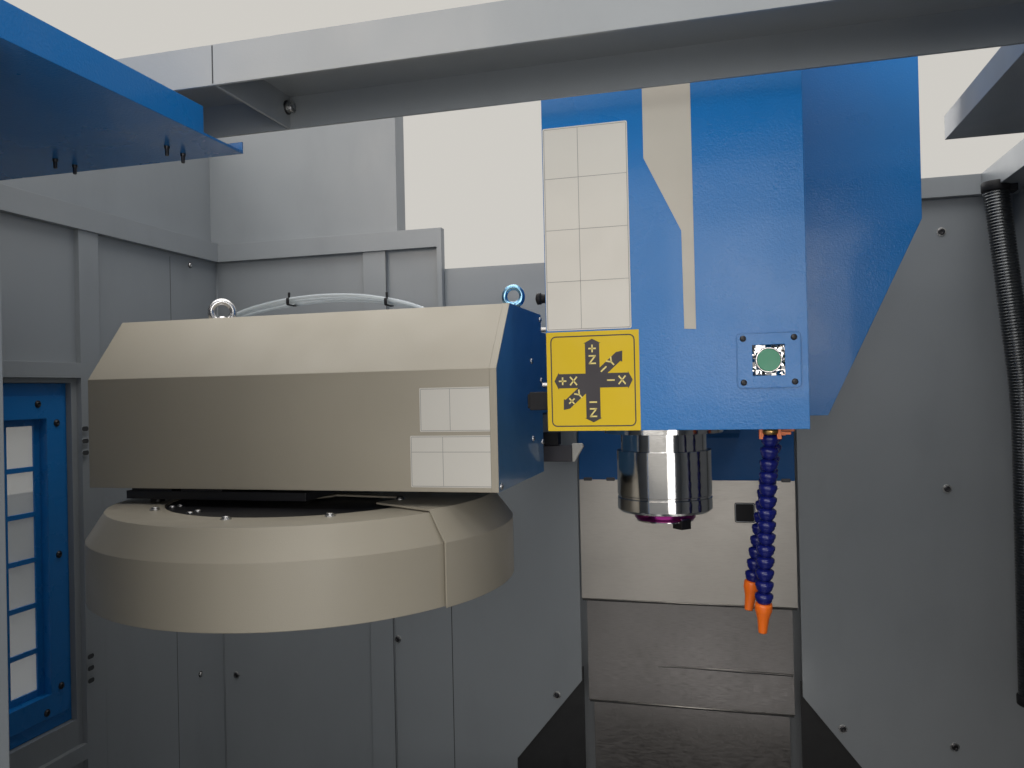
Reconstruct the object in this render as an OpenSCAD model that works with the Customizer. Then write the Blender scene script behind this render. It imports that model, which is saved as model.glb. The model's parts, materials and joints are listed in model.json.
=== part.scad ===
// Vertical machining centre with an umbrella tool magazine and an open-topped splash guard.
// The origin is on the floor under the spindle axis: X runs along the table, Y to the column, Z up.

/* [Spindle and head] */
// Height of the spindle nose at the tool change position
nose_z = 1435; // [1380:5:1500]
// Diameter of the spindle cartridge
spindle_d = 150; // [120:5:170]
// Diameter of the turning spindle nose
nose_d = 96; // [80:2:100]
// Large end of the tool taper
taper_d = 44.45; // [31.75:0.05:57.15]
// Distance from the spindle axis to the saddle face of the head
throat = 574; // [540:2:620]
// Left edge of the head cover, from the spindle axis
head_left = 152; // [140:1:170]
// Right edge of the head cover, from the spindle axis
head_right = 207; // [180:1:220]
// Front face of the head cover, from the spindle axis
head_front = 170; // [150:1:200]
// Height of the head cover
head_cover_h = 762; // [720:2:800]
// Width of the splash plate beside the head
side_guard_w = 200; // [120:5:205]
// Thickness of the sheet metal covers
sheet = 2; // [1.5:0.1:3]
// Travel of the push button on the head
button_travel = 4; // [2:0.5:5]

/* [Axes] */
// Height of the table top over the floor
table_z = 770; // [740:5:800]
// Length of the table
table_l = 700; // [600:10:720]
// Depth of the table
table_w = 420; // [380:10:460]
// Travel of the table to each side
x_half_travel = 300; // [200:10:310]
// Travel of the saddle to each side
y_half_travel = 200; // [150:10:200]
// Travel of the head down from the tool change position
z_down = 500; // [400:10:520]
// Travel of the head up from the tool change position
z_up = 130; // [110:5:140]
// Width of a T-slot
slot_w = 18; // [14:1:22]
// Number of T-slots
slot_n = 3; // [3:1:5]
// Diameter of the ball screws
screw_d = 32; // [25:1:40]

/* [Way covers] */
// Width of the widest Z cover plate
way_cover_w = 486; // [470:2:490]
// How far each cover plate is narrower on each side than the one in front
way_cover_step = 11; // [8:1:14]
// Visible height of the upper cover plate
way_cover_h = 279; // [260:1:300]

/* [Tool magazine] */
// Distance from the spindle axis to the disc axis, magazine back
disc_x = 636; // [610:2:650]
// Outer radius of the round cover
hat_r = 360; // [350:1:370]
// Height of the straight wall of the round cover
hat_wall = 95; // [80:1:100]
// Radius of the tool pockets
pocket_pitch_r = 318; // [300:1:320]
// Number of tool pockets
pocket_n = 16; // [12:1:16]
// Radius of the hub plate
hub_r = 239; // [220:1:240]
// Length of the box over the carriage
box_l = 755; // [740:5:760]
// Depth of the box over the carriage
box_w = 314; // [300:2:320]
// Height of the box over the carriage
box_h = 299; // [290:1:310]
// Height of the upright face of the box
box_face = 191; // [180:1:200]

/* [Guard] */
// Inner width of the guard
guard_w = 1927; // [1900:1:1980]
// Inner depth of the guard
guard_d = 1330; // [1290:5:1360]
// Inner face of the right wall, from the spindle axis
right_x = 693; // [680:1:720]
// Inner face of the back wall, from the spindle axis
back_y = 590; // [590:1:600]
// Thickness of the guard walls
wall_t = 36; // [30:1:40]
// Left edge of the door opening, from the spindle axis
opening_left = 520; // [480:2:540]
// Right edge of the door opening, from the spindle axis
opening_right = 425; // [415:1:440]
// Height of the door sill
sill_z = 700; // [660:5:720]
// Bottom of the guard
guard_z = 400; // [380:5:420]
// Bottom of the header beam
beam_z = 2034; // [2030:1:2060]
// Depth of the header beam
beam_w = 180; // [160:2:200]
// Height of the header beam
beam_h = 50; // [40:1:60]
// Front of the header beam, from the spindle axis
beam_y = 449; // [440:1:470]
// Thickness of a sliding door
door_t = 35; // [30:1:40]
// Width of the window frame
frame_w = 46; // [40:1:55]
// Spacing of the upright window bars
bar_pitch_y = 74; // [60:1:90]
// Spacing of the level window bars
bar_pitch_z = 92; // [80:1:120]

/* [Hidden] */
$fn = 48;

blue = [0.03, 0.27, 0.62];
dark_blue = [0.05, 0.20, 0.42];
grey = [0.62, 0.65, 0.70];
beige = [0.66, 0.64, 0.59];
steel = [0.70, 0.71, 0.73];
black = [0.08, 0.08, 0.09];

// Gap between parts that slide or turn on each other
run_gap = 0.3;
// Radial clearance of shafts and bars in their bearings
fit_gap = 0.05;
// Gap left round a loose cover
cover_gap = 7;

// Heights of the head
cartridge_z = nose_z + 16;
cartridge_h = 97;
collar_h = 28;
flange_h = 14;
head_z = cartridge_z + cartridge_h + collar_h + flange_h;
head_cover_z = head_z - sheet;
carrier_h = 310;
adapter_h = 60;
saddle_plate_z = nose_z - 3;
saddle_plate_h = 508;
saddle_plate_t = 60;
flange_r = spindle_d / 2 + 19;
journal_r = nose_d / 2 - 3;
carrier_half = 125;

// Column, rails and screws behind the head
column_y = throat + saddle_plate_t + 46;
rail_h = 24;
rail_w = 34;
z_rail_x = 180;
z_screw_y = column_y + 20;
screw_r = screw_d / 2;
column_half = 330;
column_d = 430;
column_top_z = 2000;
pedestal_z = 600;

// Base, saddle and table from the floor up
feet_h = 80;
table_t = 80;
block_h = 34;
saddle_t = 104;
saddle_top = table_z - table_t - block_h - 16;
saddle_z = saddle_top - saddle_t;
pad_top = saddle_z - block_h - 22;
base_top = pad_top - 40;
base_half = 380;
base_front = guard_d - back_y - 220;
base_back = column_y + column_d + 40;
y_rail_x = 230;
x_rail_y = 130;
rail_reach = 150;
saddle_half_x = x_half_travel + rail_reach + 10;
saddle_half_y = table_w / 2 - 20;
saddle_cover_half = 345;
x_screw_z = saddle_top - 10;
y_screw_z = pad_top;
block_l = 90;
block_w = 62;

// Magazine heights and places
hat_z = nose_z - 110;
hat_shoulder = hat_z + hat_wall;
hat_top = hat_shoulder + 44;
hat_top_r = hat_r - 28;
hub_top = hat_top - 3;
box_z = hat_top + 28;
box_top = box_z + box_h;
box_right = -240;
box_left = box_right - box_l;
box_front = -130;
box_back = box_front + box_w;
box_slope = 87;
plate_t = 12;
end_plate_x = box_right - 10;
disc_stroke = disc_x - pocket_pitch_r;
carriage_end = box_left + 73;
rod_x = -disc_x + 4;
carriage_z = hat_top + 9;
carriage_t = 14;
bar_r = 15;
bar_y = 95;
bar_z = carriage_z + 62;
door_half = 25.5;
door_lap = 3;
door_gap = 6;
motor_r = 52;
boss_r = 40;

// Guard places
left_x = guard_w - right_x;
front_y = guard_d - back_y;
left_door_x = opening_left - 8;
jamb_lap = 20;
glass_low = 1150;
glass_high = 1750;
glass_margin = 120;
wall_top = beam_z + beam_h;
upper_top = 2390;
ledge_z = beam_z - 24;
ledge_h = 50;
door_y = -front_y - 30 - 4 - door_t;
door_bottom = sill_z - 10;
roof_z = beam_z - 64;
door_top = roof_z + door_t;
roof_back = -beam_y - 10;
meet_x = opening_right - (right_x - opening_right);
left_door_w = opening_left + meet_x + jamb_lap;
right_door_w = right_x - opening_right;
skirt_x = 250;
arm_z = box_z + 110;
rail_x = right_x - 64;

// Operator console on its pin beside the right wall
ear_t = 20;
console_ears = [1060, 1560];
console_pin_r = 10;
console_x = right_x + wall_t + 36;
console_y = 50 - front_y;
console_w = 320;
console_h = 620;
console_d = 100;
console_face = console_y - 70;
console_low = 1010;

// Window in the left wall: its frame, the rim round it and the steps of its depth
win_front = 70 - front_y;
win_back = 71;
win_low = 1003;
win_high = 1657;
rim_y = 10;
rim_z = 27;
bead_w = 14;
rim_x = -left_x - 16;
bead_x = -left_x - 31;
pane_t = 5;

// A block between two X, two Y and two Z values
module span(x, y, z) {
    translate([x[0], y[0], z[0]])
        cube([x[1] - x[0], y[1] - y[0], z[1] - z[0]]);
}

// An outline drawn in Y and Z, made t thick from x0
module across_x(x0, t) {
    translate([x0, 0, 0])
        rotate([90, 0, 90])
            linear_extrude(t)
                children();
}

// An outline drawn in X and Z, made t thick from y0
module across_y(y0, t) {
    translate([0, y0 + t, 0])
        rotate([90, 0, 0])
            linear_extrude(t)
                children();
}

// Round bars along each axis
module bar_x(x, y, z, r) {
    translate([x[0], y, z])
        rotate([0, 90, 0])
            cylinder(h = x[1] - x[0], r = r);
}

module bar_along_y(x, y, z, r) {
    translate([x, y[0], z])
        rotate([-90, 0, 0])
            cylinder(h = y[1] - y[0], r = r);
}

module bar_up(x, y, z, r) {
    translate([x, y, z[0]])
        cylinder(h = z[1] - z[0], r = r);
}

// A rectangle with round corners
module round_rect(x, y, r) {
    translate([x[0] + r, y[0]])
        square([x[1] - x[0] - 2 * r, y[1] - y[0]]);
    translate([x[0], y[0] + r])
        square([x[1] - x[0], y[1] - y[0] - 2 * r]);
    for (cx = [x[0] + r, x[1] - r], cy = [y[0] + r, y[1] - r])
        translate([cx, cy])
            circle(r);
}

// Main casting under the table and the column, with pockets cast into its flanks
module base_casting() {
    pocket_w = 200;
    pocket_depth = 60;
    color(grey)
        difference() {
            union() {
                span([-base_half, base_half], [-base_front, base_back], [feet_h, base_top]);
                span([-column_half - 10, column_half + 10], [column_y - 32, base_back], [base_top, pedestal_z]);
                for (s = [-1, 1])
                    span([s * y_rail_x - 50, s * y_rail_x + 50], [-base_front, throat - 40], [base_top, pad_top]);
                for (y = [-base_front + 20, throat - 80])
                    difference() {
                        span([-60, 60], [y, y + 30], [base_top, y_screw_z + 40]);
                        bar_along_y(0, [y - 1, y + 31], y_screw_z, screw_r + fit_gap);
                    }
            }
            for (s = [-1, 1], y = [-base_front + 60 : pocket_w + 70 : base_back - pocket_w])
                translate([s * (base_half - pocket_depth / 2), 0, 0])
                    across_x(-pocket_depth / 2 - (s < 0 ? 1 : 0), pocket_depth + 1)
                        round_rect([y, y + pocket_w], [feet_h + 60, base_top - 60], 30);
        }
}

// Round pads, studs and nuts that carry the base
module leveling_feet() {
    color(steel)
        for (x = [-base_half + 60, base_half - 60], y = [-base_front + 70, 30, column_y - 60, base_back - 70]) {
            bar_up(x, y, [0, 22], 48);
            bar_up(x, y, [22, feet_h], 14);
            translate([x, y, feet_h - 22])
                cylinder(h = 22, r = 26, $fn = 6);
        }
}

// Column with side windows, rail pads and a groove for the Z screw
module column_casting() {
    groove_half = 60;
    groove_d = 80;
    color(grey)
        difference() {
            union() {
                across_x(-column_half, 2 * column_half)
                    polygon([
                        [column_y, pedestal_z], [column_y + column_d, pedestal_z],
                        [column_y + column_d, pedestal_z + 500], [column_y + column_d - 90, column_top_z],
                        [column_y, column_top_z]]);
                for (s = [-1, 1])
                    span([s * z_rail_x - 30, s * z_rail_x + 30], [column_y - 10, column_y], [pedestal_z + 40, column_top_z]);
                span([-column_half, -z_rail_x - 70], [column_y - 20, column_y], [box_z, box_top]);
            }
            span([-groove_half, groove_half], [column_y - 1, column_y + groove_d],
                [pedestal_z + 60, column_top_z - 40]);
            bar_up(0, z_screw_y, [column_top_z - 41, column_top_z + 1], screw_r + fit_gap);
            bar_up(0, z_screw_y, [pedestal_z + 30, pedestal_z + 61], screw_r + fit_gap);
            for (s = [-1, 1], z = [pedestal_z + 120 : 330 : column_top_z - 300])
                translate([s > 0 ? column_half - 60 : -column_half - 1, 0, 0])
                    across_x(0, 61)
                        round_rect([column_y + 90, column_y + column_d - 110], [z, z + 230], 40);
        }
}

// A straight guide rail with waisted sides, along Y at the origin, foot at Z 0
module rail(l) {
    waist = 4;
    across_y(0, l)
        polygon([
            [-rail_w / 2, 0], [rail_w / 2, 0], [rail_w / 2, 8], [rail_w / 2 - waist, 12],
            [rail_w / 2 - waist, 16], [rail_w / 2, 20], [rail_w / 2, rail_h],
            [-rail_w / 2, rail_h], [-rail_w / 2, 20], [-rail_w / 2 + waist, 16],
            [-rail_w / 2 + waist, 12], [-rail_w / 2, 8]]);
}

// A bearing block that straddles a rail along Y, its top h over the rail's foot
module rail_block(h) {
    difference() {
        span([-block_w / 2, block_w / 2], [-block_l / 2, block_l / 2], [6, h]);
        span([-rail_w / 2 - run_gap, rail_w / 2 + run_gap], [-block_l, block_l], [0, rail_h + run_gap]);
    }
}

module guide_rails() {
    color(steel)
        for (s = [-1, 1]) {
            translate([s * y_rail_x, -base_front + 10, pad_top])
                rail(throat - 50 + base_front - 10);
            translate([s * z_rail_x, column_y - 10, pedestal_z + 50])
                rotate([90, 0, 0])
                    rail(column_top_z - pedestal_z - 60);
        }
}

module x_guide_rails() {
    color(steel)
        for (s = [-1, 1])
            translate([-saddle_half_x + 5, s * x_rail_y, saddle_top])
                rotate([0, 0, -90])
                    rail(2 * saddle_half_x - 10);
}

module y_ball_screw() {
    color(steel)
        bar_along_y(0, [-base_front - 6, throat - 45], y_screw_z, screw_r);
}

module z_ball_screw() {
    color(steel)
        bar_up(0, z_screw_y, [pedestal_z + 31, column_top_z + 6], screw_r);
}

module x_ball_screw() {
    color(steel)
        bar_x([-saddle_half_x + 2, saddle_half_x + 28], 0, x_screw_z, screw_r);
}

// A servo motor with a square flange and a ribbed rear cap, shaft end at the origin, body along +Z
module servo(half, l) {
    difference() {
        union() {
            span([-half, half], [-half, half], [0, 14]);
            bar_up(0, 0, [14, l - 50], half - 4);
            span([-half + 6, half - 6], [-half + 6, half - 6], [l - 50, l]);
            span([-18, 18], [half - 10, half + 22], [l - 44, l - 8]);
        }
        bar_up(0, 0, [-1, 10], screw_r + 2);
    }
}

module axis_motors() {
    color(black) {
        translate([0, -base_front, y_screw_z])
            rotate([90, 0, 0])
                servo(55, 150);
        translate([0, z_screw_y, column_top_z])
            servo(60, 190);
    }
}

module x_motor() {
    color(black)
        translate([saddle_half_x + 22, 0, x_screw_z])
            rotate([0, 90, 0])
                servo(44, 130);
}

// Square tubes that carry the guard on the flanks of the base
module guard_outriggers() {
    tube = 50;
    wall = 4;
    color(grey)
        for (y = [-front_y + 30, -60, back_y - 90])
            for (x = y < -base_front ? [[-left_x - wall_t, right_x + wall_t]]
                    : [[-left_x - wall_t, -base_half], [base_half, right_x + wall_t]])
                difference() {
                    span(x, [y, y + tube], [guard_z - tube, guard_z]);
                    span([x[0] - 1, x[1] + 1], [y + wall, y + tube - wall],
                        [guard_z - tube + wall, guard_z - wall]);
                }
    color(grey)
        for (s = [-1, 1])
            span([s * 300 - 25, s * 300 + 25], [-front_y + 30 + tube, -base_front], [guard_z - tube, guard_z]);
}

// Floor of the guard round the base
module chip_pan() {
    color(grey)
        difference() {
            span([-left_x, right_x], [-front_y, back_y], [guard_z, guard_z + 3]);
            span([-base_half - 1, base_half + 1], [-base_front - 1, back_y + 1], [guard_z - 1, guard_z + 4]);
        }
}

// Left wall with its ledge, post, window opening and set-back upper panel
module left_wall() {
    proud = 12;
    inner = -left_x;
    color(grey)
        union() {
            difference() {
                span([inner - wall_t, inner], [-front_y, back_y + 3], [guard_z, ledge_z + ledge_h]);
                across_x(rim_x, 40)
                    rim_outline(0);
                across_x(bead_x, 40)
                    square_hole(-run_gap);
                across_x(inner - wall_t - 1, wall_t)
                    square_hole(frame_w - 6);
            }
            span([inner - wall_t, inner - 16], [-beam_y + beam_w, back_y + 3], [ledge_z + ledge_h, upper_top]);
            span([inner, inner + 18], [-beam_y + beam_w, back_y], [ledge_z, ledge_z + ledge_h]);
            span([inner, inner + proud], [win_back + 25, win_back + 80], [guard_z + 3, ledge_z]);
            for (z = [win_high + 37, win_low - 114])
                span([inner, inner + proud], [win_front - 50, win_back + 25], [z, z + 32]);
        }
}

// The window frame's outline drawn in by d on every side
module square_hole(d) {
    translate([win_front + d, win_low + d])
        square([win_back - win_front - 2 * d, win_high - win_low - 2 * d]);
}

// Outline of the rim round the window frame, drawn in by d
module rim_outline(d) {
    translate([win_front - rim_y + d, win_low - rim_z + d])
        square([win_back - win_front + 2 * rim_y - 2 * d, win_high - win_low + 2 * rim_z - 2 * d]);
}

// Screwed window frame with a rim behind, and a set-back bead with a grid of guard bars
module window_frame() {
    bar = 10;
    glass = frame_w + bead_w;
    color(blue) {
        across_x(bead_x, 23)
            difference() {
                square_hole(0);
                square_hole(frame_w);
            }
        across_x(rim_x, 3)
            difference() {
                rim_outline(1);
                square_hole(1);
            }
        across_x(bead_x, 4)
            difference() {
                square_hole(frame_w - 1);
                difference() {
                    square_hole(glass);
                    for (y = [win_back - glass - bar_pitch_y : -bar_pitch_y : win_front + glass])
                        translate([y, win_low])
                            square([bar, win_high - win_low]);
                    for (z = [win_high - glass - bar_pitch_z : -bar_pitch_z : win_low + glass])
                        translate([win_front, z])
                            square([win_back - win_front, bar]);
                }
            }
    }
}

module window_pane() {
    color([0.75, 0.82, 0.85, 0.5])
        across_x(bead_x - pane_t, pane_t)
            square_hole(frame_w - 6 + run_gap);
}

// Right wall, plain, with a top rail along the inside
module right_wall() {
    color(grey) {
        span([right_x, right_x + wall_t], [-front_y, back_y + 3], [guard_z, roof_z - 5]);
        span([right_x, right_x + wall_t], [-beam_y - 5, back_y + 3], [roof_z - 5, wall_top]);
        span([rail_x, right_x], [107, back_y - 19], [beam_z, wall_top - 2]);
        for (z = console_ears)
            span([right_x + wall_t, console_x + 20], [console_y - 20, console_y + 20], [z, z + ear_t]);
        bar_up(console_x, console_y, [console_ears[0] - 10, console_ears[1] + ear_t + 8], console_pin_r);
    }
}

// Back wall in two sheets with a slot for the way covers, top rails and posts
module back_wall() {
    rail_d = 19;
    notch_top = 948;
    notch_low = 745;
    notch_x = 415;
    left_top = ledge_z + 47;
    upper_x = 704;
    color(grey) {
        across_y(back_y, 3)
            polygon([
                [-left_x, guard_z], [-notch_x, guard_z], [-notch_x, notch_low],
                [-skirt_x, notch_top], [-skirt_x, arm_z - 2], [end_plate_x - 142, arm_z - 2],
                [end_plate_x - 142, box_top - 28], [-skirt_x, box_top - 28], [-skirt_x, 1956], [-577, 1956],
                [-577, left_top], [-upper_x, left_top], [-upper_x, upper_top], [-left_x - 16, upper_top],
                [-left_x - 16, ledge_z + ledge_h], [-left_x, ledge_z + ledge_h]]);
        across_y(back_y, 3)
            polygon([
                [right_x, guard_z], [notch_x, guard_z], [notch_x, notch_low],
                [skirt_x, notch_top], [skirt_x, wall_top - 2], [right_x, wall_top - 2]]);
        span([-left_x + 18, -577], [back_y - rail_d, back_y], [ledge_z, left_top]);
        span([-794, -730], [back_y - 12, back_y], [guard_z + 3, ledge_z]);
        span([-590, -577], [back_y - rail_d, back_y], [1500, ledge_z]);
        span([-upper_x, 2 - upper_x], [back_y, back_y + 55], [left_top, upper_top]);
        span([skirt_x, right_x], [back_y - rail_d, back_y], [beam_z + 5, wall_top - 2]);
    }
}

// Black rubber sheets that close the notches beside the way covers
module rear_skirts() {
    color(black)
        for (s = [0, 1])
            mirror([s, 0, 0])
                span([skirt_x - 4, 450], [back_y + 3, back_y + 7], [pedestal_z, 980]);
}

// Front frame round the door opening
module front_frame() {
    color(grey)
        across_y(-front_y - 30, 30)
            difference() {
                translate([-left_x - wall_t, guard_z])
                    square([left_x + right_x + 2 * wall_t, roof_z - 5 - guard_z]);
                translate([-opening_left, sill_z])
                    square([opening_left + opening_right, roof_z]);
            }
}

// Rail under the doors, fixed to the front frame
module door_tracks() {
    color(steel)
        across_x(-left_x + 40, left_x + right_x - 40)
            polygon([
                [-front_y - 30, door_bottom - 40], [-front_y - 30, door_bottom - 20],
                [door_y + door_t / 2 + 3, door_bottom - 20], [door_y + door_t / 2 + 3, door_bottom + 10],
                [door_y + door_t / 2 - 3, door_bottom + 10], [door_y + door_t / 2 - 3, door_bottom - 26],
                [-front_y - 36, door_bottom - 26], [-front_y - 36, door_bottom - 40]]);
}

// Channel across the opening, open below
module channel(x) {
    wall = 4;
    difference() {
        span(x, [-beam_y, -beam_y + beam_w], [beam_z, wall_top]);
        span([x[0] - 1, x[1] + 1], [-beam_y + wall, -beam_y + beam_w - wall], [beam_z - 1, wall_top - wall]);
    }
}

module header_beam() {
    color(grey) {
        channel([7 - left_door_x, right_x]);
        span([7 - left_door_x, 11 - left_door_x], [-beam_y + 4, -beam_y + beam_w - 4],
            [beam_z, wall_top - 4]);
    }
}

module beam_extension() {
    color(grey)
        channel([-left_x, 7 - left_door_x]);
}

module right_roof_panel() {
    color(grey)
        span([opening_right + 22, right_x], [-beam_y + beam_w, 107], [beam_z, beam_z + 38]);
}

// A ribbed tube from one point up to another
module ribbed_tube(low, high) {
    pitch = 24;
    l = norm(high - low);
    translate(low)
        rotate([0, atan2(high[0] - low[0], high[2] - low[2]), 0])
            rotate_extrude()
                polygon(concat(
                    [[0, 0], [conduit_r - 3, 0]],
                    [for (i = [0 : floor(l / pitch) - 1]) each [[conduit_r - 3, i * pitch + 6],
                        [conduit_r, i * pitch + 9], [conduit_r, i * pitch + 18], [conduit_r - 3, i * pitch + 21]]],
                    [[conduit_r - 3, l], [0, l]]));
}

// Conduit up the right wall that leans inwards to the top rail, with its two clips
conduit_r = 24;
conduit_y = 480;
conduit_low = 1010;
conduit_bend = 1607;
module coolant_conduit() {
    x = right_x - conduit_r - 1;
    high = [x - 0.095 * (beam_z - 6 - conduit_bend), conduit_y, beam_z - 6];
    bend = [x, conduit_y, conduit_bend];
    color(black) {
        ribbed_tube([x, conduit_y, conduit_low], bend);
        translate(bend)
            sphere(conduit_r - 1);
        ribbed_tube(bend, high);
        span([x, right_x], [conduit_y - 15, conduit_y + 15], [conduit_low + 2, conduit_low + 32]);
        span([high[0] - 10, rail_x + 34], [conduit_y - 15, conduit_y + 15], [beam_z - 14, beam_z]);
    }
}

// Outline of the box over the carriage, drawn in by d
module box_outline(d) {
    slope = d * 0.45;
    polygon([
        [box_front + d, box_z], [box_front + d, box_z + box_face - slope], [box_front + box_slope + slope, box_top - d],
        [box_back - plate_t, box_top - d], [box_back - plate_t, box_z]]);
}

// Welded bracket: end plate, back plate, bar support and the arm to the column
module magazine_bracket() {
    color(blue)
        difference() {
            union() {
                across_x(end_plate_x, 10) {
                    box_outline(0);
                    translate([box_back - plate_t, box_z])
                        square([plate_t, box_h]);
                }
                span([box_left, end_plate_x], [box_back - plate_t, box_back], [box_z, box_top]);
                span([box_left + 10, box_left + 22], [box_front + 10, box_back - plate_t], [box_z + 4, box_z + 80]);
                span([end_plate_x - 140, end_plate_x], [box_back, column_y - 32], [arm_z, box_top - 30]);
                span([-column_half, end_plate_x], [column_y - 32, column_y - 20], [box_z + 10, box_top - 10]);
            }
            span([end_plate_x - 132, end_plate_x - 8], [box_back + 1, column_y - 33], [arm_z + 8, box_top - 38]);
            for (s = [-1, 1])
                bar_x([box_left, end_plate_x + 1], s * bar_y, bar_z, bar_r);
        }
}

// Folded hood over the carriage, open below
module magazine_box() {
    color(beige) {
        difference() {
            across_x(box_left, box_l - 10)
                box_outline(0);
            across_x(box_left + sheet, box_l)
                difference() {
                    box_outline(sheet);
                    translate([box_back - plate_t, 0])
                        square([1, 1]);
                }
            span([box_left + sheet, end_plate_x + 1], [box_front + sheet, box_back], [box_z - 1, box_z + 1]);
        }
    }
}

module carriage_bars() {
    color(steel)
        for (s = [-1, 1])
            bar_x([box_left + 10, end_plate_x], s * bar_y, bar_z, bar_r);
}

// Pneumatic cylinder that pushes the carriage, fixed to the back plate
cyl_y = box_back - plate_t - 26;
cyl_z = box_z + 150;
module air_cylinder() {
    color(steel)
        difference() {
            union() {
                bar_x([box_left + 24, rod_x - 1], cyl_y, cyl_z, 18);
                for (x = [box_left + 30, rod_x - 31])
                    span([x, x + 24], [cyl_y - 20, box_back - plate_t], [cyl_z - 20, cyl_z + 20]);
            }
            bar_x([box_left, rod_x + 15], cyl_y, cyl_z, 8 + run_gap);
        }
}

// Lifting eyes on the box
module eye_bolts() {
    color(steel)
        for (p = [[-858, 70], [-271, 100]])
            translate([p[0], p[1], box_top]) {
                cylinder(h = 6, r = 15);
                cylinder(h = 16, r = 8);
                translate([0, 0, 28])
                    rotate([90, 0, 0])
                        rotate_extrude()
                            translate([15, 0])
                                circle(5);
            }
}

// Points of a tube swept round a route, with ring ends closed
function ring(p, d, r, n) = let (u = d / norm(d), a = cross(u, [0, 1, 0]), v = a / norm(a), w = cross(u, v))
    [for (k = [0 : n - 1]) p + r * (v * cos(360 * k / n) + w * sin(360 * k / n))];

module tube(pts, r, n) {
    m = len(pts);
    dirs = [for (i = [0 : m - 1]) pts[min(i + 1, m - 1)] - pts[max(i - 1, 0)]];
    polyhedron(
        points = [for (i = [0 : m - 1]) each ring(pts[i], dirs[i], r, n)],
        faces = concat(
            [[for (k = [0 : n - 1]) k]],
            [for (i = [0 : m - 2], k = [0 : n - 1])
                [i * n + k, (i + 1) * n + k, (i + 1) * n + (k + 1) % n, i * n + (k + 1) % n]],
            [[for (k = [n - 1 : -1 : 0]) (m - 1) * n + k]]));
}

// Clear air lines that arch behind the box between two manifolds
tube_route = [[-930, 0, 0], [-928, 0, 20], [-900, 0, 34], [-850, 0, 46], [-781, 0, 56], [-700, 0, 60],
    [-620, 0, 56], [-550, 0, 44], [-500, 0, 30], [-474, 0, 16], [-470, 0, 0]];
module air_tubes() {
    color([0.8, 0.85, 0.88])
        for (i = [0 : 2])
            translate([0, box_back + 8 + 11 * i, box_top + 1])
                tube(tube_route, 4.5, 8);
    color(black)
        for (x = [-930, -470])
            span([x - 14, x + 14], [box_back, box_back + 38], [box_top - 40, box_top + 1]);
}

// One telescopic plate: front sheet, side flanges and a lip, its front face at y
module way_plate(w, y, z) {
    depth = 50;
    color(steel) {
        difference() {
            span([-w / 2, w / 2], [y, y + depth], z);
            span([-w / 2 + sheet, w / 2 - sheet], [y + sheet, y + depth + 1], [z[0] - 1, z[1] + 1]);
        }
        span([-w / 2 + sheet, w / 2 - sheet], [y + sheet, y + cover_step_y - run_gap], [z[0], z[0] + 4]);
    }
}

// Width and place of the cover plates, from the widest in front to the fixed one behind
function cover_w(i) = way_cover_w - 2 * way_cover_step * i;
cover_step_y = 6;
function cover_y(i) = throat + cover_step_y * i;
cover_bottom = saddle_plate_z - 6 - way_cover_h;
cover_fall = 241;
cover_lap = 93;
function cover_rows(i) =
    [cover_bottom - cover_fall * i, cover_bottom + cover_lap - (cover_fall - 1) * (i - 1)];
module way_cover_1() {
    way_plate(cover_w(0), cover_y(0), [cover_bottom, saddle_plate_z]);
}

module way_cover_2() {
    way_plate(cover_w(1), cover_y(1), cover_rows(1));
}

module way_cover_3() {
    way_plate(cover_w(2), cover_y(2), cover_rows(2));
}

module fixed_way_cover() {
    way_plate(cover_w(3), cover_y(3), [base_top, cover_rows(3)[1]]);
}

// Nut of the vertical ball screw in the head
nut_z = saddle_plate_z + 200;
nut_h = 90;

// Head: saddle plate with bearing blocks and nut, neck and spindle carrier
module head_casting() {
    color(dark_blue)
        difference() {
            union() {
                span([-way_cover_w / 2, way_cover_w / 2], [throat, throat + saddle_plate_t],
                    [saddle_plate_z, saddle_plate_z + saddle_plate_h]);
                across_x(-carrier_half, 2 * carrier_half)
                    polygon([
                        [carrier_half, head_z], [throat, head_z - 60], [throat, head_z + carrier_h + 20],
                        [carrier_half, head_z + carrier_h]]);
                span([-carrier_half, carrier_half], [-carrier_half, carrier_half], [head_z, head_z + carrier_h]);
                span([-95, 95], [-95, 95], [head_z + carrier_h, head_z + carrier_h + adapter_h]);
                span([-48, 48], [throat + saddle_plate_t, z_screw_y + 44],
                    [nut_z, nut_z + nut_h]);
                for (s = [-1, 1], z = [saddle_plate_z + 60, saddle_plate_z + saddle_plate_h - 130])
                    translate([s * z_rail_x, column_y - 10, z])
                        rotate([90, 0, 0])
                            rail_block(column_y - 10 - throat - saddle_plate_t);
            }
            bar_up(0, 0, [head_z - 1, head_z + carrier_h + 1], spindle_d / 2 - 5);
            bar_up(0, 0, [head_z + carrier_h - 1, head_z + carrier_h + adapter_h + 1], 62);
            bar_up(0, z_screw_y, [nut_z - 1, nut_z + nut_h + 1], screw_r + run_gap);
            for (s = [0, 1])
                mirror([s, 0, 0])
                    translate([carrier_half - 30, 0, 0])
                        across_x(0, 31)
                            round_rect([carrier_half + 50, throat - 50], [head_z + 40, head_z + carrier_h - 50], 40);
        }
}

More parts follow.
